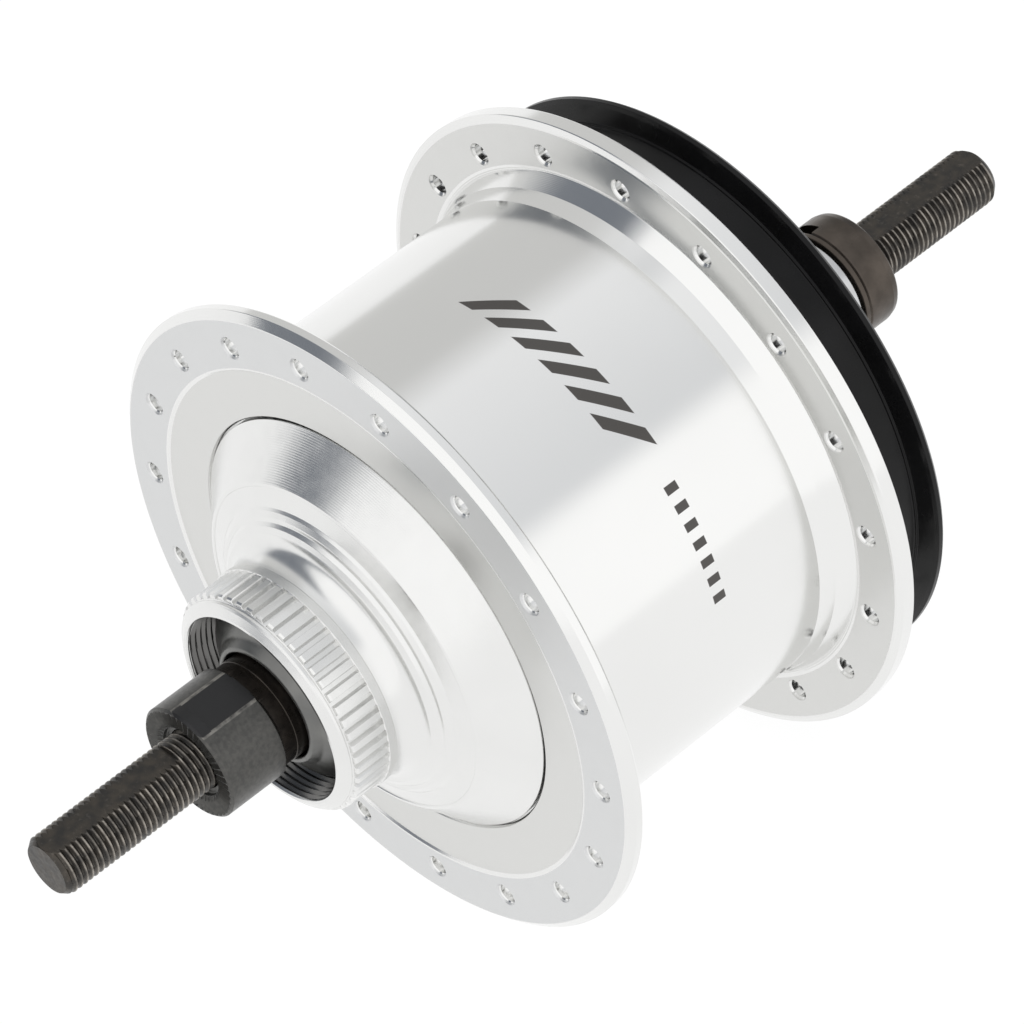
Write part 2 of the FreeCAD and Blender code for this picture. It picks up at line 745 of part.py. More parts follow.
def make_carrier():
    """Three plates, the posts between them, and the planets' pins."""
    low_angles = planet_angles(LOW_PLANET_PHASE)
    high_angles = planet_angles(HIGH_PLANET_PHASE)
    journal = "axle_journal_radius + journal_clearance"
    plates = [
        ("carrier_right", "carrier_right_face", "carrier_right_inner", "carrier_right_bore",
         low_angles),
        ("carrier_middle", "carrier_middle_right", "carrier_middle_left", journal,
         low_angles + high_angles),
        ("carrier_left", "carrier_left_inner", "carrier_left_face", journal, high_angles),
    ]
    extras = {
        "carrier_right": carrier_posts("carrier_right", "carrier_right_inner",
                                       "carrier_middle_right", high_angles),
        "carrier_middle": [],
        "carrier_left": carrier_posts("carrier_left", "carrier_middle_left",
                                      "carrier_left_inner", low_angles),
    }
    extras["carrier_left"].append(ring("carrier_left_sleeve", "carrier_left_face",
                                       "clutch_start - 0.2", "carrier_right_bore",
                                       "carrier_sleeve_radius"))
    for name, start, end, bore, angles in plates:
        plate = ring(name, start, end, bore, "carrier_radius")
        holes = [drilling_rod("%s_hole_%d" % (name, index + 1), "pin_radius",
                              start + " - 1", end + " + 1", "pin_circle", angle)
                 for index, angle in enumerate(angles)]
        solid = cut(name, plate, holes)
        if extras[name]:
            solid = joined(name, [solid] + extras[name])
        finished(solid, name)
    pin_group("planet_pins_low", "pin_circle", "pin_radius", "carrier_right_face",
              "carrier_middle_left", low_angles)
    pin_group("planet_pins_high", "pin_circle", "pin_radius", "carrier_middle_right",
              "carrier_left_face", high_angles)


def make_clutch():
    """The overrunning roller clutch: a six-sided cam, rollers and a race in the shell."""
    sides = int(size("clutch_rollers"))
    flat = size("clutch_cam_flat")
    corner_radius = flat / math.cos(math.pi / sides)
    hexagon = closed_wire([around(corner_radius, 360.0 * (index + 0.5) / sides)
                           for index in range(sides)])
    outer = Part.Face(hexagon).common(Part.Face(circle_wire(size("clutch_cam_radius"))))
    face = face_between(outer.Faces[0].OuterWire, circle_wire(size("carrier_right_bore")))
    finished(extruded("clutch_cam", face, "clutch_start - 0.2", "clutch_end"), "clutch_cam")
    pin_group("clutch_rollers", "clutch_cam_flat + clutch_roller_radius + 0.05",
              "clutch_roller_radius", "clutch_start", "clutch_end - 0.2",
              [360.0 * index / sides for index in range(sides)])
    finished(ring("clutch_race", "clutch_start", "clutch_end", "clutch_race_radius",
                  "shell_left_bore_radius"), "clutch_race")


# ---- shell and what turns with it ---------------------------------------------------------

def make_hub_shell():
    """The barrel with both spoke flanges, bored from the right and drilled for the spokes."""
    body = turned("hub_shell", [
        ("right_flange_back", "shell_bore_radius"),
        ("right_flange_back", "flange_radius - flange_chamfer"),
        ("right_flange_back + 0.6", "flange_radius"),
        ("right_flange_face - 0.4", "flange_radius"),
        ("right_flange_face", "flange_radius - flange_chamfer"),
        ("right_flange_face", "flange_root_radius + 0.2"),
        ("right_flange_face + 0.3", "flange_root_radius - 0.3"),
        ("barrel_ring_end", "barrel_ring_radius"),
        ("barrel_ring_start", "barrel_radius"),
        ("left_root_start", "barrel_radius"),
        ("left_flange_back", "left_root_radius"),
        ("left_flange_back", "flange_radius"),
        ("left_flange_face - 0.7", "flange_radius"),
        ("left_flange_face", "flange_radius - flange_chamfer"),
        ("left_flange_face", "42.7"),
        ("cap_rim_face + 0.4", "42.3"),
        ("cap_rim_face", "cap_seat_radius"),
        ("cap_seat_depth", "cap_seat_radius"),
        ("cap_seat_depth", "shell_left_bore_radius"),
        ("shell_left_wall", "shell_left_bore_radius"),
        ("shell_left_wall", "shell_bore_radius"),
    ])
    drill_flange(body, "left", "left_flange_back + 1.3", "left_spoke_phase")
    drill_flange(body, "right", "right_flange_back + 1.7", "right_spoke_phase")
    finished(body, "hub_shell")


def drill_flange(body, side, plane, phase):
    """One spoke hole through a flange, repeated round the axle."""
    sketch = body.newObject("Sketcher::SketchObject", side + "_spoke_hole")
    sketch.AttachmentSupport = [(origin_plane(body, "XZ_Plane"), "")]
    sketch.MapMode = "FlatFace"
    doc.recompute()
    along_normal = sketch.Placement.Rotation.multVec(Vector(0, 0, 1)).y
    sketch.setExpression("AttachmentOffset.Base.z", linked("(%s) * %d" % (plane, round(along_normal))))
    doc.recompute()
    hole = around(size("spoke_circle_radius"), size(phase), size(plane))
    centre = sketch.Placement.inverse().multVec(hole)
    sketch.addGeometry(Part.Circle(centre, Vector(0, 0, 1), size("spoke_hole_radius")))
    radius_row = sketch.addConstraint(
        Sketcher.Constraint("Radius", 0, size("spoke_hole_radius")))
    sketch.setExpression("Constraints[%d]" % radius_row, linked("spoke_hole_radius"))
    for direction, wave, value in (("X", "sin", centre.x), ("Y", "cos", centre.y)):
        share = hole.x if wave == "sin" else hole.z
        sign = 1 if value * share > 0 else -1
        row = sketch.addConstraint(
            Sketcher.Constraint("Distance" + direction, -1, 1, 0, 3, value))
        sketch.setExpression("Constraints[%d]" % row,
                             linked("%d * spoke_circle_radius * %s(%s)" % (sign, wave, phase)))
    pocket = body.newObject("PartDesign::Pocket", side + "_spoke_drilling")
    pocket.Profile = sketch
    pocket.Midplane = True
    pocket.Length = 8
    pattern = body.newObject("PartDesign::PolarPattern", side + "_spoke_pattern")
    pattern.Originals = [pocket]
    pattern.Axis = (sketch, ["N_Axis"])
    pattern.Angle = 360
    pattern.setExpression("Occurrences", linked("spokes_per_flange"))
    body.Tip = pattern
    doc.recompute()


def make_brake_cap():
    """The domed brake-side cap with a splined rotor tube."""
    cove = []
    for slope in (0, 30, 60, 90):
        cove.append(("collar_start - (collar_start - cove_foot_face) * cos(%d)" % slope,
                     "cove_foot_radius - (cove_foot_radius - cove_neck_radius) * sin(%d)" % slope))
    body = turned("brake_side_cap", [
        ("cap_seat_depth", "cap_inside_radius + 2"),
        ("cap_seat_depth", "cap_rim_radius"),
        ("cap_rim_face", "cap_rim_radius"),
        ("dome_end_face", "dome_end_radius"),
        ("dome_end_face + 0.3", "dome_end_radius - 0.5"),
        ("cap_shoulder_face", "cap_shoulder_radius"),
        ("cap_bead_face", "cap_bead_radius"),
    ] + cove + [
        ("collar_start + 0.2", "collar_radius"),
        ("spline_start", "collar_radius"),
        ("spline_start", "spline_root_radius"),
        ("spline_end + 0.3", "spline_root_radius"),
        ("tube_face - 0.7", "tube_shoulder_radius"),
        ("tube_face", "tube_rim_radius"),
        ("tube_face", "tube_bore_radius"),
        ("tube_bore_depth", "tube_bore_radius"),
        ("tube_bore_depth", "bearing_seat_radius"),
        ("left_ball_plane - 4", "bearing_seat_radius"),
        ("left_ball_plane - 4", "cap_throat_radius"),
        ("left_ball_plane - 5.5", "cap_throat_radius"),
        ("left_ball_plane - 5.5", "cap_inside_radius"),
    ])
    teeth = int(size("spline_teeth"))
    crest = size("spline_radius")
    root = size("spline_root_radius")
    pitch = 360.0 / teeth
    points = []
    for tooth in range(teeth):
        for radius, part in ((root, 0.14), (crest, 0.26), (crest, 0.74), (root, 0.86)):
            points.append(around(radius, (tooth + part) * pitch))
    bore = circle_wire(root - 1)
    splines = extruded("rotor_splines", face_between(closed_wire(points), bore),
                       "spline_start", "spline_end")
    finished(joined("brake_side_cap", [body, splines]), "brake_side_cap")


def make_left_bearing_parts():
    """The brake-side bearing cup and the conical dust cap in front of it."""
    race = "left_ball_plane - left_ball_circle - " + BALL_REACH
    finished(turned("left_bearing_cup", [
        ("left_ball_plane - 4", "left_cup_throat"),
        ("left_ball_plane - 4", "bearing_seat_radius"),
        ("tube_bore_depth", "bearing_seat_radius"),
        ("tube_bore_depth", "left_cup_mouth"),
        (race + " + left_cup_mouth", "left_cup_mouth"),
        (race + " + left_cup_throat", "left_cup_throat"),
    ]), "left_bearing_cup")
    skirt_inside = "bearing_seat_radius - dust_sheet"
    finished(turned("left_dust_cap", [
        ("tube_bore_depth", skirt_inside),
        ("tube_bore_depth", "bearing_seat_radius"),
        ("dust_lip_face - 0.4", "dust_lip_radius"),
        ("dust_lip_face + 0.4", "dust_lip_radius"),
        ("dust_lip_face + 0.8", "dust_lip_radius - 0.4"),
        ("dust_roll_face - 1.4", "dust_roll_radius + 1.7"),
        ("dust_roll_face - 0.1", "dust_roll_radius + 0.6"),
        ("dust_roll_face", "dust_roll_radius"),
        ("dust_roll_face - 0.6", "dust_roll_radius - 0.2"),
        ("dust_roll_face - 0.9", "dust_roll_radius + 0.4"),
        ("dust_roll_face - 1.9", "dust_roll_radius + 1.2"),
        ("dust_lip_face + 0.1", skirt_inside),
    ]), "left_dust_cap")


def make_right_closing_parts():
    """The large ball cup that closes the shell and the black dust cap over it."""
    race = "driver_ball_plane - driver_ball_circle - " + BALL_REACH
    back = "right_flange_back - 1"
    finished(turned("right_ball_cup", [
        (race + " + right_cup_mouth", "right_cup_mouth"),
        (race + " + right_cup_throat", "right_cup_throat"),
        ("right_cup_face", "right_cup_throat"),
        ("right_cup_face", "shell_bore_radius"),
        ("right_flange_back + 3", "shell_bore_radius"),
        ("right_flange_back + 3", "shell_bore_radius - 1.6"),
        (back, "shell_bore_radius - 1.6"),
        (back, "right_cup_mouth"),
    ]), "right_ball_cup")
    finished(turned("right_dust_cap", [
        ("right_flange_back", "shell_bore_radius"),
        ("right_flange_back", "dust_cap_neck_radius"),
        ("right_flange_back - 2", "dust_cap_neck_radius"),
        ("right_flange_back - 5", "dust_cap_body_radius - 0.6"),
        ("dust_cap_body_end", "dust_cap_body_radius"),
        ("dust_cap_rim_front + 0.3", "dust_cap_rim_radius - 0.7"),
        ("dust_cap_rim_front", "dust_cap_rim_radius"),
        ("dust_cap_back + 0.3", "dust_cap_rim_radius - 0.1"),
        ("dust_cap_back", "dust_cap_rim_radius - 0.6"),
        ("dust_cap_back", "dust_cap_bore"),
        ("dust_cap_rim_front", "dust_cap_bore"),
        ("right_cup_face", "shell_bore_radius"),
    ]), "right_dust_cap")


def make_ratchet():
    """The saw-toothed ratchet ring in the shell and the three drive pawls."""
    teeth = int(size("ratchet_teeth"))
    root = size("ratchet_root")
    tip = size("ratchet_tip")
    pitch = 360.0 / teeth
    points = []
    for tooth in range(teeth):
        points.append(around(tip, tooth * pitch))
        points.append(around(root, tooth * pitch))
        points.append(around(tip, (tooth + 0.92) * pitch))
    face = face_between(circle_wire(size("shell_bore_radius")), closed_wire(points))
    finished(extruded("ratchet_ring", face, "ratchet_start", "ratchet_end"), "ratchet_ring")
    count = int(size("drive_pawls"))
    pawls = []
    for index in range(count):
        start = 360.0 * index / count
        corners = [around(35.15, start + 0.4), around(34.0, start + 9.5), around(33.0, start + 13.5),
                   around(31.5, start + 13.5), around(31.5, start + 8), around(33.4, start + 0.6)]
        pawls.append(extruded("drive_pawl_%d" % (index + 1), Part.Face(closed_wire(corners)),
                              "ratchet_start + 0.2", "ratchet_end - 0.2"))
    group = doc.addObject("Part::Compound", "drive_pawls_group")
    group.Links = pawls
    finished(group, "drive_pawls")


# ---- driver -------------------------------------------------------------------------------

def make_driver():
    """The driver: a notched sprocket seat, a race for the large balls and a cup for the ring."""
    race = "driver_ball_plane - driver_ball_circle + " + BALL_REACH
    ring_right, ring_left = LOW_RING_SPAN
    groove = "sprocket_seat_radius - sprocket_ring_depth"
    body = turned("driver", [
        ("driver_end", "driver_bore_radius"),
        ("driver_end", "sprocket_seat_radius - 0.5"),
        ("driver_end + 0.5", "sprocket_seat_radius"),
        ("driver_end + 1.2", "sprocket_seat_radius"),
        ("driver_end + 1.2", groove),
        ("driver_end + 2.4", groove),
        ("driver_end + 2.4", "sprocket_seat_radius"),
        ("sprocket_seat_start", "sprocket_seat_radius"),
        ("sprocket_seat_start", "driver_neck_radius"),
        ("driver_hub_start", "driver_neck_radius"),
        ("driver_hub_start", "driver_hub_radius"),
        (race + " + driver_hub_radius", "driver_hub_radius"),
        (race + " + driver_race_radius", "driver_race_radius"),
        ("driver_flange_back", "driver_race_radius"),
        ("driver_flange_back", "low_ring_outer + 1.5"),
        (ring_left, "low_ring_outer + 1.5"),
        (ring_left, "low_ring_outer"),
        (ring_right, "low_ring_outer"),
        (ring_right, "driver_cup_bore"),
        ("driver_cup_floor", "driver_cup_bore"),
        ("driver_cup_floor", "driver_floor_bore"),
        ("driver_step_face", "driver_floor_bore"),
        ("driver_step_face", "driver_bore_radius"),
    ])
    notches = []
    count = int(size("sprocket_notches"))
    for index in range(count):
        notches.append(drilling_rod("sprocket_notch_%d" % (index + 1), "sprocket_notch_radius",
                                    "driver_end - 1", "sprocket_seat_start",
                                    "sprocket_seat_radius + 0.9", 360.0 * index / count))
    finished(cut("driver", body, notches), "driver")
    race = "right_ball_plane + right_ball_circle + " + BALL_REACH
    finished(turned("driver_bearing_cup", [
        ("driver_step_face", "driver_cup_throat"),
        (race + " - driver_cup_throat", "driver_cup_throat"),
        (race + " - driver_cup_mouth", "driver_cup_mouth"),
        ("right_ball_plane - 4", "driver_cup_mouth"),
        ("right_ball_plane - 4", "driver_bore_radius"),
        ("driver_step_face", "driver_bore_radius"),
    ]), "driver_bearing_cup")
    finished(ring("driver_seal", "driver_end + 0.1", "right_ball_plane - 4.1",
                  "right_cone_radius + 0.5", "driver_bore_radius"), "driver_seal")


def ball_group(name, plane, circle, count):
    """A ring of equal balls as one group of separate solids."""
    balls = []
    total = int(size(count))
    for index in range(total):
        angle = 360.0 * index / total
        ball = doc.addObject("Part::Sphere", "%s_%d" % (name, index + 1))
        ball.setExpression("Radius", linked("ball_radius"))
        ball.setExpression("Placement.Base.x", linked("%s * sin(%r)" % (circle, angle)))
        ball.setExpression("Placement.Base.y", linked(plane))
        ball.setExpression("Placement.Base.z", linked("%s * cos(%r)" % (circle, angle)))
        balls.append(ball)
    group = doc.addObject("Part::Compound", name + "_group")
    group.Links = balls
    finished(group, name)


def make_balls():
    """The three rings of bearing balls."""
    for side in ("left", "driver", "right"):
        ball_group(side + "_balls", side + "_ball_plane", side + "_ball_circle",
                   side + "_ball_count")


def check_and_write():
    """Stop on any failed object or bad shape, then write one STEP file per piece."""
    doc.recompute()
    failed = [item.Name for item in doc.Objects
              if "Invalid" in item.State or "Error" in item.State]
    if failed:
        raise RuntimeError("failed objects: " + ", ".join(failed))
    for piece in nodes:
        shape = piece.Shape
        if shape.isNull() or not shape.isValid() or not shape.Solids:
            raise RuntimeError("bad shape: " + piece.Label)
    os.makedirs("parts", exist_ok=True)
    for piece in nodes:
        piece.Shape.exportStep("parts/%s.step" % piece.Label)
        print("%-20s solids %2d volume %10.1f" % (
            piece.Label, len(piece.Shape.Solids), piece.Shape.Volume))
    print(len(nodes), "pieces written")


def main():
    fill_sheet()
    make_axle()
    make_sun_pawls()
    make_left_cone()
    make_left_lock_nut()
    make_right_cone_and_nut()
    make_axle_washers()
    make_selector()
    make_suns()
    make_planets()
    make_ring_gears()
    make_carrier()
    make_clutch()
    make_hub_shell()
    make_brake_cap()
    make_left_bearing_parts()
    make_right_closing_parts()
    make_ratchet()
    make_driver()
    make_balls()
    check_and_write()


main()
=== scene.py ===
"""Looks of the eight-speed hub: detailed turned pieces, metals, studio light and camera."""
import bmesh
import bpy
import json
import math
from mathutils import Matrix, Vector


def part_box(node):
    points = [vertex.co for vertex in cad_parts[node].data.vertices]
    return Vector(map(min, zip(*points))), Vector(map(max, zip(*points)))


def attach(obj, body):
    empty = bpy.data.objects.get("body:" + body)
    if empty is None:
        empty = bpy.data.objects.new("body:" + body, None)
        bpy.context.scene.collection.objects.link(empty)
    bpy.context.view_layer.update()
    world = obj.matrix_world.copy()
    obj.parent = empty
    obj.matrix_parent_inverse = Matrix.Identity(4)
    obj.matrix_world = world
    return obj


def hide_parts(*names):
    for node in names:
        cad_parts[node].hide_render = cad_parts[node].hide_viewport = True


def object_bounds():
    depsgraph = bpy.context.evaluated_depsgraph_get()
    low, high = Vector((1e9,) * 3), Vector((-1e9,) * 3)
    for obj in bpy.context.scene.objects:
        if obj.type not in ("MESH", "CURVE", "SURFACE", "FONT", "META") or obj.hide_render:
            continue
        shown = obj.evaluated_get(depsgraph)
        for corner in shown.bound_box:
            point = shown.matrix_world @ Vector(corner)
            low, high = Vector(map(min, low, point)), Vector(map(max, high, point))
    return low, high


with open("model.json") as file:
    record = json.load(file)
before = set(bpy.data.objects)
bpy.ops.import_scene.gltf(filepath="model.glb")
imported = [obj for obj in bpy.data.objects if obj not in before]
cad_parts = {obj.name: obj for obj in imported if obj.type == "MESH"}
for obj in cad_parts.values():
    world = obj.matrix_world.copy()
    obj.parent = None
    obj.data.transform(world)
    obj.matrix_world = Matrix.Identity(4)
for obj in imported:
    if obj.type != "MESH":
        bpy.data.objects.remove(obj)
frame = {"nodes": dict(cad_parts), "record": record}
cad_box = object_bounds()
MM = 0.001

# ---- places read from the frame, in millimetres ---------------------------------------------


def span(node):
    """A node's lowest and highest place along the axle, and its largest radius."""
    low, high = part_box(node)
    return low.y / MM, high.y / MM, max(high.x, high.z, -low.x, -low.z) / MM


AXLE_END = span("axle")[1]
NUT_FACE = span("left_lock_nut")[1]

# Places along the axle and radii, in millimetres; angles are in degrees.
AXLE_HOLE = 4.9
THREAD_RADIUS = 4.76
THREAD_DEPTH = 0.45
THREAD_PITCH = 25.4 / 26
THREAD_START = 56.0
POINT_LENGTH = 1.1
POINT_SLOPE = 0.75
FLAT_HALF = 4.0
FLAT_ANGLE = 10.0
LEFT_FLAT_START = 70.0
RIGHT_FLAT_START = NUT_FACE - 1.5
SPOKES = 18
SPOKE_CIRCLE = 46.3
SPOKE_HOLE = 1.45
LEFT_SPOKE_PHASE = 16.25
RIGHT_SPOKE_PHASE = 6.25
BARREL_RADIUS = 41.1
FLANGE_RADIUS = 52.1
LEFT_FLANGE_BACK = 30.1
LEFT_FLANGE_FACE = 32.66
CAP_SEAT_OUTSIDE = 42.35
CAP_SEAT_INSIDE = 34.5
RIGHT_FLANGE_FACE = -21.35
RIGHT_FLANGE_BACK = -24.7
TUBE_BORE = 15.25
TUBE_BORE_END = 53.6
TUBE_FACE = 53.9
NUT_RADIUS = 9.1
NUT_FLAT_HALF = 8.5
NUT_FLAT_END = 65.5

# Faces that meet at more than this angle show an edge. A part with fine fillets takes a smaller
# angle, and a thread a larger one.
CREASE = 32.0
FIRM_CREASE = 20.0
SHARP_CREASE = 14.0
THREAD_CREASE = 50.0

# Number of sides of the round parts.
SMALL_ROUND = 192
LARGE_ROUND = 240
FINE_ROUND = 360

# ---- mesh building --------------------------------------------------------------------------


ARC_SHARE = 0.45
GUARD_SHARE = 0.03
LONGEST_GUARD = 0.06


def rounded(corners, steps=4):
    """A closed outline of (y, r, fillet) corners as points, with each fillet as a short arc.

    A guard point just outside each end of an arc keeps its shading off the flat beside it.
    """
    points = []
    count = len(corners)
    for index, (y, r, fillet) in enumerate(corners):
        here = Vector((y, r))
        if fillet <= 0:
            points.append((y, r))
            continue
        before = Vector(corners[index - 1][:2]) - here
        after = Vector(corners[(index + 1) % count][:2]) - here
        opening = before.angle(after)
        back = min(fillet / math.tan(opening / 2), before.length * ARC_SHARE,
                   after.length * ARC_SHARE)
        radius = back * math.tan(opening / 2)
        start = here + before.normalized() * back
        end = here + after.normalized() * back
        guard = min(LONGEST_GUARD, before.length * GUARD_SHARE, after.length * GUARD_SHARE)
        points.append(tuple(start + before.normalized() * guard))
        middle = here + (before.normalized() + after.normalized()).normalized() * (
            radius / math.sin(opening / 2))
        for step in range(steps + 1):
            share = step / steps
            spoke = (start - middle).lerp(end - middle, share)
            points.append(tuple(middle + spoke.normalized() * radius))
        points.append(tuple(end + after.normalized() * guard))
    return points


def even_angles(count):
    """A number of angles, evenly round the axle."""
    return [360.0 * index / count for index in range(count)]


def around(y, r, angle):
    """A point in metres at an axial place, a radius and an angle from +Z towards +X."""
    turn = math.radians(angle)
    return Vector((r * math.sin(turn), y, r * math.cos(turn))) * MM


def turned(name, outline, angles, shape=around, open_ends=False, crease=CREASE):
    """A mesh turned about the axle; shape may change a point, as for flats, teeth or threads."""
    vertices = []
    for y, r in outline:
        vertices += [shape(y, r, angle) for angle in angles]
    wide = len(angles)
    tall = len(outline)
    faces = []
    for row in range(tall - 1 if open_ends else tall):
        lower = row * wide
        upper = (row + 1) % tall * wide
        for column in range(wide):
            beside = (column + 1) % wide
            faces.append((lower + column, lower + beside, upper + beside, upper + column))
    if open_ends:
        faces.append(tuple(range(wide)))
        faces.append(tuple(range((tall - 1) * wide, tall * wide))[::-1])
    return mesh_object(name, vertices, faces, crease)


def mesh_object(name, vertices, faces, crease):
    """A smooth-shaded object with outward normals and creases where faces meet sharply."""
    mesh = bpy.data.meshes.new(name)
    mesh.from_pydata(vertices, [], faces)
    work = bmesh.new()
    work.from_mesh(mesh)
    bmesh.ops.recalc_face_normals(work, faces=work.faces)
    work.to_mesh(mesh)
    work.free()
    mesh.shade_smooth()
    mesh.set_sharp_from_angle(angle=math.radians(crease))
    piece = bpy.data.objects.new(name, mesh)
    bpy.context.scene.collection.objects.link(piece)
    return piece


def carve(piece, cutters, crease=CREASE):
    """Take every cutter away from a piece and apply the result."""
    for cutter in cutters:
        modifier = piece.modifiers.new("carve", "BOOLEAN")
        modifier.operation = "DIFFERENCE"
        modifier.solver = "EXACT"
        modifier.object = cutter
    graph = bpy.context.evaluated_depsgraph_get()
    carved = bpy.data.meshes.new_from_object(piece.evaluated_get(graph))
    piece.modifiers.clear()
    piece.data = carved
    piece.data.set_sharp_from_angle(angle=math.radians(crease))
    for cutter in cutters:
        bpy.data.objects.remove(cutter)


def spoke_cutter(name, low, high, phase):
    """Drills for one flange: a ring of rods that widen at both faces."""
    reach = 2.0
    widening = 0.42
    sides = 40
    outline = [(low - reach, SPOKE_HOLE + widening + reach), (low + widening, SPOKE_HOLE),
               (high - widening, SPOKE_HOLE), (high + reach, SPOKE_HOLE + widening + reach)]
    vertices = []
    faces = []
    for spoke in range(SPOKES):
        centre = around(0, SPOKE_CIRCLE, phase + 360.0 * spoke / SPOKES)
        first = len(vertices)
        for y, r in outline:
            vertices += [centre + around(y, r, angle) for angle in even_angles(sides)]
        for row in range(len(outline) - 1):
            for column in range(sides):
                beside = (column + 1) % sides
                low_row = first + row * sides
                faces.append((low_row + column, low_row + beside,
                              low_row + sides + beside, low_row + sides + column))
        last = first + (len(outline) - 1) * sides
        faces.append(tuple(range(first, first + sides)))
        faces.append(tuple(range(last, last + sides))[::-1])
    return mesh_object(name, vertices, faces, CREASE)


def rod(name, radius, low, high, circle, angle):
    """A round cutter parallel to the axle, at a radius and an angle about it."""
    piece = turned(name, [(low, radius), (high, radius)], even_angles(48), open_ends=True)
    piece.data.transform(Matrix.Translation(around(0, circle, angle)))
    return piece


def block(name, low, high, angle):
    """A box cutter between two (tangent, axial, radial) corners, turned about the axle."""
    corners = [Vector((x, y, z)) * MM for x in (low[0], high[0]) for y in (low[1], high[1])
               for z in (low[2], high[2])]
    turn = Matrix.Rotation(math.radians(angle), 3, "Y")
    faces = [(0, 1, 3, 2), (4, 6, 7, 5), (0, 4, 5, 1), (2, 3, 7, 6), (0, 2, 6, 4), (1, 5, 7, 3)]
    return mesh_object(name, [turn @ corner for corner in corners], faces, CREASE)


def flattened(y, r, angle, half, facing=0.0):
    """A turned point held between two flats at a half width, facing a direction."""
    point = around(y, r, angle - facing)
    limit = half * MM
    point.z = max(-limit, min(limit, point.z))
    return Matrix.Rotation(math.radians(facing), 3, "Y") @ point


def stand_in(piece, body, slot, *nodes):
    """A detailed piece rides on its body in place of its CAD nodes."""
    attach(piece, body)
    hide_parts(*nodes)
    return piece


# ---- materials ------------------------------------------------------------------------------


class Nodes:
    """Short ways to add shader nodes to a tree; values are sockets or plain numbers."""

    def __init__(self, tree):
        self.tree = tree

    def link(self, source, target):
        """Join two sockets."""
        self.tree.links.new(source, target)

    def rgb(self, colour):
        """A plain colour."""
        node = self.tree.nodes.new("ShaderNodeRGB")
        node.outputs[0].default_value = (*colour, 1.0)
        return node.outputs[0]

    def math(self, operation, first, second=0.0):
        """One arithmetic step."""
        node = self.tree.nodes.new("ShaderNodeMath")
        node.operation = operation
        for socket, value in zip(node.inputs, (first, second)):
            if isinstance(value, (int, float)):
                socket.default_value = value
            else:
                self.link(value, socket)
        return node.outputs[0]

    def product(self, first, *others):
        """Several values multiplied together."""
        for other in others:
            first = self.math("MULTIPLY", first, other)
        return first

    def spread(self, value, low, high, from_low=0.0, from_high=1.0):
        """A value mapped evenly from one range to another and held at its ends."""
        node = self.tree.nodes.new("ShaderNodeMapRange")
        self.link(value, node.inputs["Value"])
        for name, number in (("From Min", from_low), ("From Max", from_high),
                             ("To Min", low), ("To Max", high)):
            node.inputs[name].default_value = number
        return node.outputs["Result"]

    def rise(self, value, low, high):
        """0 below a range and 1 above it."""
        return self.spread(value, 0.0, 1.0, low, high)

    def fall(self, value, low, high):
        """1 below a range and 0 above it."""
        return self.spread(value, 1.0, 0.0, low, high)

    def between(self, value, low, high, soft=0.02):
        """1 where a value lies between two limits, with a soft edge."""
        return self.product(self.rise(value, low - soft, low + soft),
                            self.fall(value, high - soft, high + soft))

    def mix(self, share, first, second):
        """Two colours mixed by a share from 0 to 1."""
        node = self.tree.nodes.new("ShaderNodeMix")
        node.data_type = "RGBA"
        self.link(share, node.inputs["Factor"])
        self.link(first, node.inputs["A"])
        self.link(second, node.inputs["B"])
        return node.outputs["Result"]

    def degrees_about_axle(self, x, z):
        """The angle from +Z towards +X of a place or direction."""
        return self.math("MULTIPLY", self.math("ARCTAN2", x, z), 180.0 / math.pi)


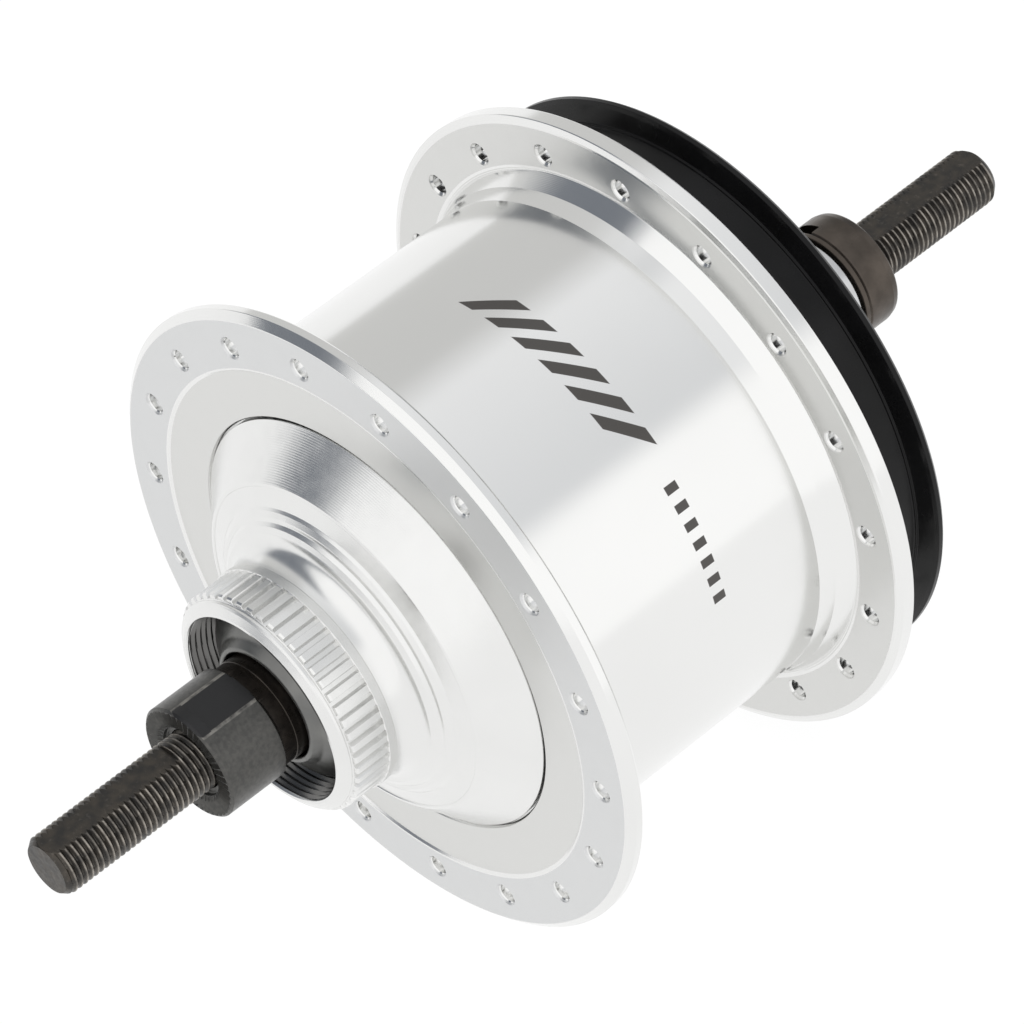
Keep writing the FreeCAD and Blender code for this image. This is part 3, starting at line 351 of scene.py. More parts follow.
class Finish(Nodes):
    """A metal or plastic finish: a Principled shader with procedural variation and bump."""

    def __init__(self, name, colour, metallic, roughness, oil_film=0.0):
        self.material = bpy.data.materials.new(name)
        self.material.use_nodes = True
        super().__init__(self.material.node_tree)
        self.shader = self.tree.nodes["Principled BSDF"]
        self.shader.inputs["Base Color"].default_value = (*colour, 1.0)
        self.shader.inputs["Metallic"].default_value = metallic
        self.shader.inputs["Roughness"].default_value = roughness
        self.shader.inputs["Coat Weight"].default_value = oil_film
        self.place = self.tree.nodes.new("ShaderNodeTexCoord").outputs["Object"]
        self.colour = self.rgb(colour)
        self.roughness = roughness
        self.normal = None

    def noise(self, scale, detail=3.0, stretch=(1, 1, 1)):
        """Noise per millimetre, stretched along the given axes."""
        mapping = self.tree.nodes.new("ShaderNodeMapping")
        mapping.inputs["Scale"].default_value = [scale / MM * side for side in stretch]
        self.link(self.place, mapping.inputs["Vector"])
        node = self.tree.nodes.new("ShaderNodeTexNoise")
        node.inputs["Scale"].default_value = 1.0
        node.inputs["Detail"].default_value = detail
        self.link(mapping.outputs[0], node.inputs["Vector"])
        return node.outputs["Fac"]

    def axis_parts(self):
        """Place along the axle, radius and angle about the axle."""
        split = self.tree.nodes.new("ShaderNodeSeparateXYZ")
        self.link(self.place, split.inputs[0])
        x, y, z = split.outputs
        axial = self.math("DIVIDE", y, MM)
        squares = self.math("ADD", self.product(x, x), self.product(z, z))
        radius = self.math("DIVIDE", self.math("SQRT", squares), MM)
        return axial, radius, self.degrees_about_axle(x, z)

    def tint(self, colour, share):
        """Mix another colour in by a share from 0 to 1."""
        self.colour = self.mix(share, self.colour, self.rgb(colour))
        self.link(self.colour, self.shader.inputs["Base Color"])

    def uneven(self, colour, scale, low=0.35, high=0.65):
        """Slow colour variation."""
        self.tint(colour, self.rise(self.noise(scale, 4.0), low, high))

    def uneven_roughness(self, amount, scale, stretch=(1, 1, 1)):
        """Roughness that varies about its base value."""
        noise = self.noise(scale, 4.0, stretch)
        self.roughness = self.spread(noise, self.roughness - amount, self.roughness + amount,
                                     0.3, 0.7)
        self.link(self.roughness, self.shader.inputs["Roughness"])

    def rougher(self, amount, share):
        """More roughness where a share from 0 to 1 says so."""
        self.roughness = self.math("ADD", self.roughness, self.product(share, amount))
        self.link(self.roughness, self.shader.inputs["Roughness"])

    def bump(self, height, distance, strength=1.0):
        """Fine relief on top of the mesh, in millimetres; later calls stack on earlier ones."""
        node = self.tree.nodes.new("ShaderNodeBump")
        node.inputs["Distance"].default_value = distance * MM
        node.inputs["Strength"].default_value = strength
        self.link(height, node.inputs["Height"])
        if self.normal is not None:
            self.link(self.normal, node.inputs["Normal"])
        self.normal = node.outputs[0]
        self.link(self.normal, self.shader.inputs["Normal"])

    def turning_marks(self, pitch, depth, strength=1.0, share=None):
        """Lathe marks that follow the axial place and the radius, fainter here and there."""
        axial, radius, _ = self.axis_parts()
        travel = self.math("SUBTRACT", axial, radius)
        wave = self.math("SINE", self.product(travel, 2 * math.pi / pitch))
        height = self.product(wave, self.spread(self.noise(0.12), 0.5, 1.0, 0.35, 0.6))
        if share is not None:
            height = self.product(height, share)
        self.bump(height, depth, strength)

    def row_of_bars(self, place, places, axial, reach, pitch, inked):
        """A printed row: its places round the axle, its reach along it, and each pitch's ink."""
        row = self.product(self.between(axial, *reach, 0.05), self.between(place, *places, 0.1))
        part = self.math("FRACT", self.math("DIVIDE", place, pitch))
        return self.product(row, self.between(part, *inked, 0.01))


def polished_alloy():
    """Bright anodised aluminium of the shell, with painted shade on the flange faces and a plain
    printed pattern of bars.
    """
    finish = Finish("polished_alloy", (0.825, 0.825, 0.815), 1.0, 0.15)
    finish.uneven((0.8, 0.8, 0.79), 0.02)
    finish.uneven_roughness(0.02, 0.3, (1, 0.2, 1))
    finish.turning_marks(0.35, 0.0006, 0.6)
    axial, radius, angle = finish.axis_parts()
    left_face_satin_and_painted_shade = finish.product(
        finish.between(axial, LEFT_FLANGE_FACE - 0.26, LEFT_FLANGE_FACE + 0.14),
        finish.between(radius, 43.0, 50.8))
    finish.rougher(0.27, left_face_satin_and_painted_shade)
    # Painted shade: the left flange face is tinted darker for the shaded floor it reflects; the
    # added roughness is its real satin finish.
    finish.tint((0.69, 0.695, 0.695), left_face_satin_and_painted_shade)
    right_face = finish.product(
        finish.between(axial, RIGHT_FLANGE_FACE - 0.15, RIGHT_FLANGE_FACE + 0.15),
        finish.between(radius, 44.0, 50.8))
    cap_seat_face = finish.product(
        finish.between(axial, 31.9, 32.38),
        finish.between(radius, CAP_SEAT_INSIDE + 0.1, CAP_SEAT_OUTSIDE + 0.05))
    satin_faces_and_painted_shade = finish.math("ADD", right_face, cap_seat_face)
    finish.rougher(0.15, satin_faces_and_painted_shade)
    # Painted shade: the right flange face and the cap seat are tinted darker for the shade they
    # reflect; the added roughness is their real satin finish.
    finish.tint((0.68, 0.68, 0.665), satin_faces_and_painted_shade)
    slant_per_mm = 1.6
    slanted = finish.math("SUBTRACT", angle, finish.product(axial, slant_per_mm))
    wide = finish.row_of_bars(slanted, (-37.0, 7.4), axial, (0.2, 5.6), 7.4, (0.12, 0.66))
    narrow = finish.row_of_bars(angle, (-71.4, -42.0), axial, (0.9, 3.1), 4.2, (0.25, 0.7))
    on_barrel = finish.between(radius, BARREL_RADIUS - 0.6, BARREL_RADIUS + 0.08)
    ink = finish.product(finish.math("MAXIMUM", wide, narrow), on_barrel)
    finish.tint((0.06, 0.055, 0.05), ink)
    finish.link(finish.fall(ink, 0.0, 1.0), finish.shader.inputs["Metallic"])
    return finish.material


def satin_alloy():
    """Machined aluminium of the brake-side cap, with lathe marks and a darker threaded bore."""
    finish = Finish("satin_alloy", (0.81, 0.81, 0.80), 1.0, 0.24)
    finish.uneven((0.78, 0.78, 0.77), 0.05)
    finish.uneven_roughness(0.03, 0.5)
    axial, radius, _ = finish.axis_parts()
    finish.turning_marks(0.5, 0.0035, 0.8, finish.between(radius, 27.0, 34.0))
    in_bore = finish.spread(radius, 0.9, 0.0, TUBE_BORE + 0.47, TUBE_BORE + 0.6)
    behind_lip = finish.fall(axial, TUBE_FACE - 0.7, TUBE_FACE - 0.4)
    finish.tint((0.08, 0.077, 0.073), finish.product(in_bore, behind_lip))
    return finish.material


def black_paint():
    """Satin black of the right dust cap."""
    finish = Finish("black_paint", (0.004, 0.004, 0.0042), 0.0, 0.24)
    finish.shader.inputs["Specular IOR Level"].default_value = 0.2
    finish.uneven((0.007, 0.007, 0.0075), 0.1)
    finish.uneven_roughness(0.04, 0.6)
    finish.bump(finish.noise(6.0, 3.0), 0.003, 0.4)
    return finish.material


def black_oxide():
    """Blackened steel with bright thread crests rubbed bare and a trace of brown."""
    finish = Finish("black_oxide", (0.045, 0.043, 0.041), 0.85, 0.38)
    finish.uneven((0.075, 0.066, 0.056), 0.5)
    _, radius, _ = finish.axis_parts()
    crest = finish.rise(radius, THREAD_RADIUS - 0.16, THREAD_RADIUS - 0.01)
    wear_and_glint_patches = finish.spread(finish.noise(0.5, 6.0), 0.25, 1.0, 0.42, 0.6)
    finish.tint((0.38, 0.35, 0.31), finish.product(crest, wear_and_glint_patches))
    rubbed = finish.spread(finish.noise(1.4, 5.0), 0.0, 0.3, 0.58, 0.75)
    finish.tint((0.2, 0.18, 0.16), rubbed)
    finish.uneven_roughness(0.08, 1.5)
    finish.bump(finish.noise(5.0, 4.0), 0.008, 0.4)
    return finish.material


def black_nut():
    """Black-plated nut steel: a fine grain, painted shade on the flats and a painted highlight along
    their edges, broken into patches.
    """
    finish = Finish("black_nut", (0.075, 0.074, 0.071), 0.8, 0.36)
    finish.uneven((0.1, 0.098, 0.092), 1.5)
    _, radius, angle = finish.axis_parts()
    cosine = finish.math("COSINE", finish.product(angle, math.pi / 180.0))
    height = finish.math("ABSOLUTE", finish.product(radius, cosine))
    painted_shade_on_flats = finish.rise(height, NUT_FLAT_HALF - 0.06, NUT_FLAT_HALF - 0.01)
    # Painted shade: the flats are tinted darker than the round part for the darker surround they
    # reflect.
    finish.tint((0.035, 0.035, 0.036), painted_shade_on_flats)
    # Painted highlight: a thin bright line where each flat meets the round, broken into patches by
    # noise.
    edge = finish.product(finish.between(height, NUT_FLAT_HALF - 0.12, NUT_FLAT_HALF + 0.02),
                          finish.between(radius, NUT_RADIUS - 0.08, NUT_RADIUS + 0.1))
    wear_and_glint_patches = finish.spread(finish.noise(0.8), 0.2, 1.0, 0.35, 0.6)
    finish.tint((0.25, 0.24, 0.22), finish.product(edge, wear_and_glint_patches))
    finish.uneven_roughness(0.05, 2.5)
    finish.bump(finish.noise(9.0, 3.0), 0.004, 0.5)
    return finish.material


def dark_cone_steel():
    """Dark brown oiled steel of the brake-side cone."""
    finish = Finish("dark_cone_steel", (0.03, 0.026, 0.023), 0.8, 0.3)
    finish.uneven((0.05, 0.042, 0.035), 0.5)
    finish.uneven_roughness(0.05, 1.0)
    finish.turning_marks(0.3, 0.001, 0.5)
    return finish.material


def brown_steel():
    """Brown-grey treated steel of the right nut and spacer."""
    finish = Finish("brown_steel", (0.07, 0.059, 0.05), 0.9, 0.32)
    finish.uneven((0.1, 0.084, 0.071), 0.3)
    finish.uneven_roughness(0.05, 1.0)
    finish.turning_marks(0.3, 0.001, 0.5)
    return finish.material


def grey_plate():
    """Dark grey plated sheet steel of the dust cap in the tube."""
    finish = Finish("grey_plate", (0.17, 0.17, 0.165), 0.85, 0.36)
    finish.uneven((0.22, 0.22, 0.21), 0.25)
    finish.uneven_roughness(0.05, 1.0)
    finish.bump(finish.noise(3.0, 3.0), 0.005, 0.4)
    return finish.material


def bright_steel():
    """Zinc-plated steel of the driver and the right cone."""
    finish = Finish("bright_steel", (0.62, 0.63, 0.64), 1.0, 0.27)
    finish.uneven((0.5, 0.5, 0.5), 0.2)
    finish.uneven_roughness(0.06, 0.8)
    finish.turning_marks(0.3, 0.0015, 0.6)
    return finish.material


def oiled_gear_steel():
    """Hardened gear steel with a film of oil."""
    finish = Finish("oiled_gear_steel", (0.36, 0.35, 0.34), 1.0, 0.3, oil_film=0.4)
    finish.uneven((0.46, 0.44, 0.41), 0.25)
    finish.uneven_roughness(0.06, 1.2)
    finish.bump(finish.noise(3.0, 3.0), 0.006, 0.4)
    return finish.material


def ground_bearing_steel():
    """Ground and polished bearing steel."""
    finish = Finish("ground_bearing_steel", (0.72, 0.72, 0.73), 1.0, 0.12)
    finish.uneven((0.66, 0.66, 0.68), 0.3)
    finish.uneven_roughness(0.03, 1.0)
    return finish.material


def sintered_steel():
    """Grainy sintered steel of the carrier."""
    finish = Finish("sintered_steel", (0.42, 0.4, 0.36), 0.95, 0.42)
    finish.uneven((0.3, 0.29, 0.27), 0.5)
    finish.uneven_roughness(0.08, 2.0)
    finish.bump(finish.noise(7.0, 3.0), 0.02, 0.6)
    return finish.material


MATERIALS = {
    "alloy_polished": polished_alloy(),
    "black_cap": black_paint(),
    "dark_steel": black_oxide(),
    "brown_steel": brown_steel(),
    "cap_grey": grey_plate(),
    "bright_steel": bright_steel(),
    "bearing_steel": ground_bearing_steel(),
    "gear_steel": oiled_gear_steel(),
    "carrier_steel": sintered_steel(),
    "spring_steel": grey_plate(),
}


def coat(piece, material):
    """Give a piece one material."""
    piece.data.materials.clear()
    piece.data.materials.append(material)
    return piece


# ---- the shell and what turns with it -------------------------------------------------------


def make_hub_shell():
    """Barrel and flanges, with rounded roots and drilled, countersunk spoke holes."""
    right_mouth = 36.6
    left_mouth = 33.0
    outline = rounded([
        (RIGHT_FLANGE_BACK, right_mouth, 0), (RIGHT_FLANGE_BACK, 50.9, 0.3), (-24.1, 52.0, 0.3),
        (-21.75, FLANGE_RADIUS, 0.25), (RIGHT_FLANGE_FACE, 51.2, 0.3),
        (RIGHT_FLANGE_FACE, 43.6, 0.12), (-21.5, 43.3, 0.08), (-18.7, 41.85, 0.08),
        (-16.2, BARREL_RADIUS, 0.08), (27.4, BARREL_RADIUS, 0.1), (LEFT_FLANGE_BACK, 42.9, 0.3),
        (LEFT_FLANGE_BACK, 51.8, 0.3), (30.5, FLANGE_RADIUS, 0.2), (31.65, FLANGE_RADIUS, 0.15),
        (LEFT_FLANGE_FACE, 50.9, 0.12), (LEFT_FLANGE_FACE, 42.75, 0.15),
        (32.35, CAP_SEAT_OUTSIDE, 0.1), (32.05, CAP_SEAT_INSIDE + 0.25, 0.12),
        (31.6, CAP_SEAT_INSIDE, 0.1), (30.0, CAP_SEAT_INSIDE, 0),
        (30.0, left_mouth, 0), (26.0, left_mouth, 0), (26.0, right_mouth, 0)], 8)
    shell = turned("hub_shell_finish", outline, even_angles(FINE_ROUND), crease=SHARP_CREASE)
    carve(shell, [
        spoke_cutter("left_drills", LEFT_FLANGE_BACK, LEFT_FLANGE_FACE, LEFT_SPOKE_PHASE),
        spoke_cutter("right_drills", RIGHT_FLANGE_BACK, RIGHT_FLANGE_FACE, RIGHT_SPOKE_PHASE)],
        SHARP_CREASE)
    coat(shell, MATERIALS["alloy_polished"])
    stand_in(shell, "shell", "alloy_polished", "hub_shell")


# Where one spline tooth starts to rise, is full, starts to fall and is back at its root.
SPLINE_TEETH = 52
SPLINE_RISE, SPLINE_CREST, SPLINE_FALL, SPLINE_ROOT = 0.14, 0.26, 0.74, 0.86


def rotor_spline(share):
    """Height of the rotor spline from 0 at its root to 1 at its crest, over one pitch."""
    if share < SPLINE_RISE or share >= SPLINE_ROOT:
        return 0.0
    if share < SPLINE_CREST:
        return (share - SPLINE_RISE) / (SPLINE_CREST - SPLINE_RISE)
    if share < SPLINE_FALL:
        return 1.0
    return (SPLINE_ROOT - share) / (SPLINE_ROOT - SPLINE_FALL)


def spline_angles():
    """Angles that follow every tooth, with a guard angle beside each of its corners."""
    guard = 0.02
    parts = [0.0, SPLINE_RISE, SPLINE_RISE + guard, SPLINE_CREST - guard, SPLINE_CREST,
             0.38, 0.5, 0.62, SPLINE_FALL, SPLINE_FALL + guard, SPLINE_ROOT - guard, SPLINE_ROOT]
    return [360.0 * (tooth + part) / SPLINE_TEETH for tooth in range(SPLINE_TEETH)
            for part in parts]


def cove(outer, drop, low, high, steps=10):
    """A quarter of a hollow from a radius inwards by a drop, between two axial places."""
    turns = [math.radians(90.0 * step / steps) for step in range(steps + 1)]
    return [(high - (high - low) * math.cos(turn), outer - drop * math.sin(turn), 0)
            for turn in turns]


def make_brake_cap():
    """Domed cap with a coved and splined tube and an inside thread."""
    root, crest = 17.5, 18.2
    spline_low, spline_high = 46.4, 52.3
    bore_floor = 44.0
    thread_start, thread_run_in, thread_run_out = 44.3, 1.5, 0.3
    thread_depth, thread_pitch = 0.45, 1.0
    cove_low, cove_high = 40.8, 44.8

    def shape(y, r, angle):
        if spline_low <= y <= spline_high and r > root - 0.05:
            r = root + (r - root) * rotor_spline(angle / 360.0 * SPLINE_TEETH % 1.0)
        elif r < TUBE_BORE + 0.02 and y > thread_start:
            fade = min(1.0, (y - thread_start) / thread_run_in)
            fade *= min(1.0, (TUBE_BORE_END - y) / thread_run_out)
            turn = (y / thread_pitch - angle / 360.0) % 1.0
            r += thread_depth * max(0.0, fade) * (1 - abs(2 * turn - 1))
        return around(y, r, angle)

    outer = [
        (30.0, 26.0, 0), (30.0, 34.2, 0), (32.0, 34.2, 0.1), (32.1, 34.05, 0),
        (37.95, 27.5, 0.1), (38.1, 27.05, 0.1), (37.95, 26.9, 0.05), (38.75, 24.1, 0.2),
        (39.15, 23.7, 0.2), (39.7, 22.9, 0.4), (39.75, 22.3, 0.2), (40.3, 21.8, 0.25),
        (40.7, 21.05, 0.1)]
    outer += cove(20.9, 2.9, cove_low, cove_high)
    outer += [(cove_high, 18.3, 0.05), (44.95, 18.45, 0.1), (46.3, 18.45, 0.08),
              (spline_low, 18.3, 0)]
    outline = rounded(outer, 3)
    outline += [(spline_low + 0.01, crest), (47.5, crest), (51.9, crest), (52.2, crest - 0.2),
                (spline_high, root)]
    outline += rounded([(52.35, 17.45, 0), (52.45, 17.3, 0.03), (52.6, 17.42, 0.05),
                        (52.95, 17.38, 0.05), (53.2, 17.04, 0.15), (TUBE_FACE, 15.9, 0.2),
                        (TUBE_FACE, 15.45, 0.1), (TUBE_BORE_END, TUBE_BORE + 0.05, 0)], 4)
    steps = 96
    bore_length = TUBE_BORE_END - bore_floor
    outline += [(TUBE_BORE_END - bore_length * step / steps, TUBE_BORE)
                for step in range(1, steps + 1)]
    outline += [(bore_floor, 14.5), (36.0, 14.5), (36.0, 12.4), (34.5, 12.4), (34.5, 24.0)]
    cap = turned("brake_side_cap_finish", outline, spline_angles(), shape, crease=FIRM_CREASE)
    coat(cap, satin_alloy())
    stand_in(cap, "shell", "alloy_polished", "brake_side_cap")


def make_left_dust_cap():
    """Conical sheet-metal cap inside the tube, with a rolled edge round the cone."""
    outline = rounded([
        (44.05, 13.7, 0), (44.05, 14.5, 0.1), (48.2, 14.6, 0.2), (49.0, 14.6, 0.3),
        (49.4, 14.2, 0.4), (51.6, 10.65, 1.6), (52.9, 9.55, 0.6), (53.0, 8.95, 0.3),
        (52.4, 8.75, 0.2), (52.1, 9.35, 0.2), (51.1, 10.15, 0.6), (48.7, 13.7, 0.3)], 5)
    cap = turned("left_dust_cap_finish", outline, even_angles(SMALL_ROUND))
    coat(cap, MATERIALS["cap_grey"])
    stand_in(cap, "shell", "cap_grey", "left_dust_cap")


def make_right_dust_cap():
    """The large black cap with a thin flared rim."""
    outline = rounded([
        (-24.7, 36.7, 0), (-24.7, 42.0, 0.2), (-26.5, 42.0, 0.4), (-29.7, 43.35, 2.0),
        (-32.95, 43.8, 0.2), (-33.0, 44.1, 0.08), (-33.35, 44.15, 0.1), (-33.5, 44.7, 0.2),
        (-34.05, 46.7, 0.2), (-34.3, 47.35, 0.1),
        (-35.0, 47.4, 0.15), (-35.6, 46.9, 0.3), (-35.6, 30.0, 0.5), (-34.9, 28.5, 0.5),
        (-34.9, 22.0, 0.5), (-35.6, 21.0, 0.4), (-35.6, 20.3, 0.2), (-34.3, 20.3, 0),
        (-33.2, 36.7, 0)], 5)
    cap = turned("right_dust_cap_finish", outline, even_angles(LARGE_ROUND), crease=FIRM_CREASE)
    coat(cap, MATERIALS["black_cap"])
    stand_in(cap, "shell", "black_cap", "right_dust_cap")


# ---- the axle group -------------------------------------------------------------------------


def threaded(y, r, angle):
    """A helical thread, a pointed tip and flats at both ends of the axle."""
    place = abs(y)
    if r > THREAD_RADIUS - 0.01 and place > THREAD_START:
        turn = (y / THREAD_PITCH - angle / 360.0) % 1.0
        rise = 1 - abs(2 * turn - 1)
        profile = min(1.0, max(0.0, rise * 1.25 - 0.1))
        r = THREAD_RADIUS - THREAD_DEPTH * (1 - profile)
    past_point_start = place - (AXLE_END - POINT_LENGTH)
    if past_point_start > 0:
        r = min(r, THREAD_RADIUS - POINT_SLOPE * past_point_start)
    if y > LEFT_FLAT_START or y < -RIGHT_FLAT_START:
        return flattened(y, r, angle, FLAT_HALF, FLAT_ANGLE)
    return around(y, r, angle)


def make_axle():
    """The axle with real threads on both ends and two flats at each."""
    samples_per_pitch = 10
    sampled_from = 60.0
    shoulder, neck, sleeve_seat = 7.95, 6.5, 6.0
    left = [(0.0, shoulder), (22.0, shoulder), (22.0, neck), (36.0, neck),
            (36.0, THREAD_RADIUS), (THREAD_START, THREAD_RADIUS)]
    right = [(-THREAD_START, THREAD_RADIUS), (-28.0, THREAD_RADIUS), (-28.0, shoulder),
             (-27.0, shoulder), (-27.0, sleeve_seat), (-13.0, sleeve_seat), (-13.0, shoulder)]
    step = THREAD_PITCH / samples_per_pitch
    count = int((AXLE_END - sampled_from) / step)
    threads = [(AXLE_END - step * (count - index), THREAD_RADIUS) for index in range(count + 1)]
    mirrored_threads = [(-y, r) for y, r in reversed(threads)]
    axle = turned("axle_finish", mirrored_threads + right + left + threads, even_angles(LARGE_ROUND),
                  threaded, open_ends=True, crease=THREAD_CREASE)
    coat(axle, MATERIALS["dark_steel"])
    stand_in(axle, "axle_group", "dark_steel", "axle")


def make_left_lock_nut():
    """Black nut with two flats, a recess round the axle and radial serrations."""
    serrations = 44
    serration_depth = 0.28
    serrated_from, serrated_to = 6.4, 8.5
    edge = 0.01

    def shape(y, r, angle):
        if y < NUT_FLAT_END + edge:
            point = flattened(y, r, angle, NUT_FLAT_HALF)
        else:
            point = around(y, r, angle)
        if y > NUT_FACE - edge and serrated_from < r < serrated_to:
            wave = abs((angle / 360.0 * serrations) % 1.0 * 2 - 1)
            point.y -= serration_depth * wave * MM
        return point

    outline = rounded([
        (57.0, AXLE_HOLE, 0), (57.0, 8.7, 0), (57.3, NUT_RADIUS, 0.2), (65.4, NUT_RADIUS, 0),
        (NUT_FLAT_END, NUT_RADIUS, 0)], 3)
    outline += [(NUT_FLAT_END + 2 * edge, NUT_RADIUS), (65.6, NUT_RADIUS)]
    outline += [(67.1, NUT_RADIUS), (67.45, 8.75)]
    outline += [(NUT_FACE, serrated_to - edge), (NUT_FACE, serrated_from + edge)]
    outline += rounded([(67.35, 6.1, 0.2), (66.3, 5.6, 0.3), (66.2, AXLE_HOLE, 0)], 3)
    nut = turned("left_lock_nut_finish", outline, even_angles(352), shape, crease=SHARP_CREASE)
    coat(nut, black_nut())
    stand_in(nut, "axle_group", "dark_steel", "left_lock_nut")


def make_left_cone():
    """Dark cone with two spanner flats at its outer end."""
    flat_start, flat_half = 54.6, 7.5
    body, flatted = 8.4, 8.3
    edge = 0.01

    def shape(y, r, angle):
        if y > flat_start + edge:
            return flattened(y, r, angle, flat_half)
        return around(y, r, angle)

    outline = [(36.4, AXLE_HOLE), (36.4, 7.6), (40.53, 7.6), (42.93, 10.0), (44.0, 10.0),
               (44.5, 8.6), (45.0, body), (54.4, body), (54.5, flatted), (flat_start, flatted),
               (flat_start + 2 * edge, flatted), (54.7, flatted), (56.7, flatted), (57.0, 8.1),
               (57.0, AXLE_HOLE)]
    cone = turned("left_cone_finish", outline, even_angles(FINE_ROUND), shape, crease=SHARP_CREASE)
    coat(cone, dark_cone_steel())
    stand_in(cone, "axle_group", "brown_steel", "left_cone")


def make_right_end():
    """Right cone, spacer ring and rounded lock nut with its key slot."""
    spacer_front, spacer_back = -59.7, -60.6
    slot_half, slot_angle = 2.1, 36.0
    cone = turned("right_cone_finish", rounded([
        (-40.9, AXLE_HOLE, 0), (-40.9, 8.6, 0.2), (-45.04, 8.6, 0), (-47.24, 10.8, 0.2),
        (-48.5, 10.8, 0.2), (-48.5, 9.1, 0), (-59.2, 9.1, 0.25), (-59.2, 7.2, 0),
        (spacer_front, 7.2, 0), (spacer_front, AXLE_HOLE, 0)], 3), even_angles(SMALL_ROUND))
    coat(cone, MATERIALS["bright_steel"])
    stand_in(cone, "axle_group", "bright_steel", "right_cone")
    nut = turned("right_lock_nut_finish", rounded([
        (-67.5, AXLE_HOLE, 0), (-67.5, 7.6, 0.4), (-66.6, 9.1, 0.9), (-65.4, 9.4, 0.8),
        (-60.9, 9.4, 0.2), (spacer_back, 9.15, 0.1), (spacer_back, AXLE_HOLE, 0)], 5),
        even_angles(SMALL_ROUND))
    carve(nut, [block("key_slot", (-slot_half, -62.5, 7.8), (slot_half, -59.5, 10.4),
                      slot_angle)])
    coat(nut, MATERIALS["brown_steel"])
    stand_in(nut, "axle_group", "brown_steel", "right_lock_nut")
    spacer = turned("right_spacer_finish", rounded([
        (spacer_back, AXLE_HOLE, 0), (spacer_back, 9.3, 0.15), (spacer_front, 9.3, 0.15),
        (spacer_front, AXLE_HOLE, 0)], 3), even_angles(SMALL_ROUND))
    coat(spacer, MATERIALS["brown_steel"])
    stand_in(spacer, "axle_group", "brown_steel", "right_spacer")


# ---- the driver -----------------------------------------------------------------------------


def make_driver():
    """The driver with its notched sprocket seat and ring groove, and the seal in its mouth."""
    seat, groove = 17.3, 16.5
    seat_start, seat_end = -38.0, -49.5
    bore, mouth = 12.0, 15.2
    gear_cup, gear_cup_inside = 34.5, 31.0
    notch_radius, notch_circle = 2.2, 18.2
    outline = rounded([
        (seat_end, mouth, 0.15), (seat_end, 16.9, 0.2), (-49.0, seat, 0.2), (-48.3, seat, 0.1),
        (-48.3, groove, 0.1), (-47.1, groove, 0.1), (-47.1, seat, 0.15), (seat_start, seat, 0.2),
        (seat_start, 19.5, 0.2), (-33.3, 19.5, 0.3), (-33.3, 22.2, 0), (-28.26, 22.2, 0),
        (-25.86, 24.6, 0), (-25.5, 24.6, 0), (-25.5, gear_cup, 0.3), (-13.0, gear_cup, 0.3),
        (-13.0, 33.0, 0), (-19.0, 33.0, 0), (-19.0, gear_cup_inside, 0),
        (-23.5, gear_cup_inside, 0.5), (-23.5, bore, 0.3), (-40.5, bore, 0),
        (-40.5, mouth, 0)], 3)
    driver = turned("driver_finish", outline, even_angles(LARGE_ROUND))
    carve(driver, [rod("sprocket_notch", notch_radius, seat_end - 1.0, seat_start, notch_circle,
                       angle) for angle in even_angles(3)])
    coat(driver, MATERIALS["bright_steel"])
    stand_in(driver, "driver", "bright_steel", "driver")
    seal = turned("driver_seal_finish", rounded([
        (-49.4, 9.8, 0.1), (-49.4, 11.0, 0.2), (-49.1, 11.4, 0.2), (-49.1, 14.0, 0.2),
        (-49.4, 14.4, 0.2), (-49.4, mouth, 0.1), (-48.6, mouth, 0), (-48.6, 9.6, 0)], 3),
        even_angles(SMALL_ROUND))
    coat(seal, MATERIALS["cap_grey"])
    stand_in(seal, "driver", "cap_grey", "driver_seal")


# ---- studio and camera ----------------------------------------------------------------------


def floor_paint():
    """A matt white paint that glows a little, so that the background is plain white."""
    paint = bpy.data.materials.new("studio_floor_paint")
    paint.use_nodes = True
    tree = paint.node_tree
    shader = tree.nodes["Principled BSDF"]
    shader.inputs["Base Color"].default_value = (0.1, 0.1, 0.1, 1)
    shader.inputs["Roughness"].default_value = 0.95
    shader.inputs["Specular IOR Level"].default_value = 0.0
    shader.inputs["Emission Color"].default_value = (1, 1, 1, 1)
    shader.inputs["Emission Strength"].default_value = 0.94
    return paint


# Each stop is a direction about the axle, in degrees from straight up towards +X, and a colour.
DRIVE_SIDE_STOPS = [
    (-180.0, (1.0, 1.0, 1.0)),
    (-120.0, (1.0, 1.0, 1.0)),
    (-44.0, (1.0, 1.0, 1.0)),
    (-34.0, (0.69, 0.70, 0.715)),
    (28.0, (0.82, 0.825, 0.835)),
    (44.0, (0.58, 0.58, 0.575)),
    (100.0, (0.60, 0.60, 0.59)),
    (150.0, (0.68, 0.68, 0.67)),
    (180.0, (0.9, 0.9, 0.9)),
]
BRAKE_SIDE_STOPS = [
    (-180.0, (1.0, 1.0, 1.0)),
    (98.0, (1.0, 1.0, 1.0)),
    (112.0, (0.76, 0.76, 0.75)),
    (180.0, (1.0, 1.0, 1.0)),
]
WORLD_STRENGTH = 1.15
STRIP_COLOUR = (0.17, 0.185, 0.21)
STRIP_LEAN = 75.0
STRIP_SOFTNESS = 12.0


def surround_ramp(nodes, share, stops):
    """Colours round the axle's direction, as a ramp over a share of the full turn."""
    ramp = nodes.tree.nodes.new("ShaderNodeValToRGB")
    nodes.link(share, ramp.inputs["Fac"])
    elements = ramp.color_ramp.elements
    for degrees, colour in stops[1:-1]:
        elements.new((degrees + 180.0) / 360.0).color = (*colour, 1.0)
    elements[0].color = (*stops[0][1], 1.0)
    elements[len(elements) - 1].color = (*stops[-1][1], 1.0)
    return ramp.outputs["Color"]


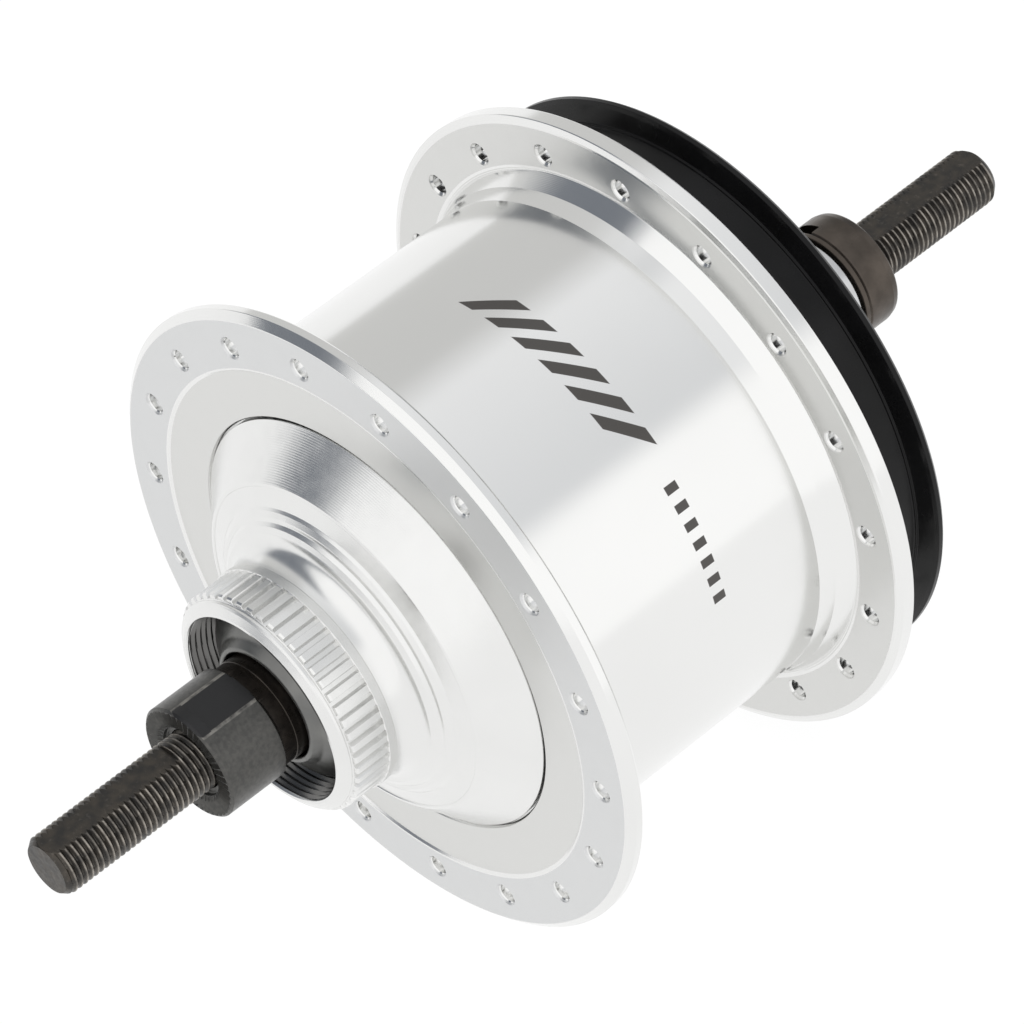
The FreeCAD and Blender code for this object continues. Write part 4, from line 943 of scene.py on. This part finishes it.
def make_world():
    """A bright surround with a dark strip on the brake side and another beyond the drive end.

    Along is the part of a direction that lies along the axle: 1 on the brake side and -1 on the
    drive side. The brake-side strip's near edge leans: it turns further round as along grows.
    """
    world = bpy.data.worlds.new("studio_world")
    bpy.context.scene.world = world
    world.use_nodes = True
    nodes = Nodes(world.node_tree)
    place = nodes.tree.nodes.new("ShaderNodeTexCoord")
    split = nodes.tree.nodes.new("ShaderNodeSeparateXYZ")
    nodes.link(place.outputs["Generated"], split.inputs[0])
    x, along, z = split.outputs
    turn = nodes.degrees_about_axle(x, z)
    share = nodes.rise(turn, -180.0, 180.0)
    surround = nodes.mix(nodes.rise(along, -0.1, 0.35),
                         surround_ramp(nodes, share, DRIVE_SIDE_STOPS),
                         surround_ramp(nodes, share, BRAKE_SIDE_STOPS))
    past_leaning_edge = nodes.math("SUBTRACT", turn, nodes.product(along, STRIP_LEAN))
    brake_strip = nodes.product(nodes.rise(past_leaning_edge, 0.0, STRIP_SOFTNESS),
                                nodes.fall(turn, 98.0, 112.0), nodes.rise(along, 0.0, 0.12))
    drive_strip = nodes.product(nodes.rise(turn, 30.0, 50.0), nodes.fall(turn, 110.0, 145.0),
                                nodes.fall(along, -0.82, -0.72))
    colour = nodes.mix(nodes.math("MAXIMUM", brake_strip, drive_strip), surround,
                       nodes.rgb(STRIP_COLOUR))
    background = nodes.tree.nodes["Background"]
    nodes.link(colour, background.inputs["Color"])
    background.inputs["Strength"].default_value = WORLD_STRENGTH


def make_stage():
    """Floor and surround of a plain bright studio."""
    floor_level = cad_box[0].z
    floor_size = 6.0
    bpy.ops.mesh.primitive_plane_add(size=floor_size, location=(0, 0, floor_level))
    floor = bpy.context.object
    floor.name = "studio_floor"
    floor.data.materials.append(floor_paint())
    make_world()
    bpy.context.scene.view_settings.view_transform = "Standard"


def make_camera():
    """The camera at the reference viewing angle."""
    azimuth, elevation = math.radians(225.73), math.radians(50.11)
    distance = 804.8
    aim = Vector((0, 10.6, 0))
    shift_right, shift_up = 4.226, 4.469
    back = Vector((math.sin(azimuth) * math.cos(elevation),
                   -math.cos(azimuth) * math.cos(elevation), math.sin(elevation)))
    right = Vector((math.cos(azimuth), math.sin(azimuth), 0))
    up = back.cross(right)
    camera = bpy.data.objects.new("camera", bpy.data.cameras.new("camera"))
    bpy.context.scene.collection.objects.link(camera)
    camera.location = (aim + back * distance + right * shift_right + up * shift_up) * MM
    camera.rotation_mode = "QUATERNION"
    camera.rotation_quaternion = Matrix((right, up, back)).transposed().to_quaternion()
    camera.data.sensor_width = 36.0
    camera.data.lens = 197.5
    camera.data.clip_start = 0.01
    camera.data.clip_end = 20.0
    bpy.context.scene.camera = camera


def dress_cad_nodes():
    """Every CAD node that stays gets the material of its slot."""
    for part in frame["record"]["subparts"]:
        material = MATERIALS[part["material_slot"]]
        slots = frame["nodes"][part["node"]].data.materials
        for index in range(len(slots)):
            slots[index] = material
        if not slots:
            slots.append(material)


make_camera()
dress_cad_nodes()
make_hub_shell()
make_brake_cap()
make_left_dust_cap()
make_right_dust_cap()
make_axle()
make_left_lock_nut()
make_left_cone()
make_right_end()
make_driver()
make_stage()
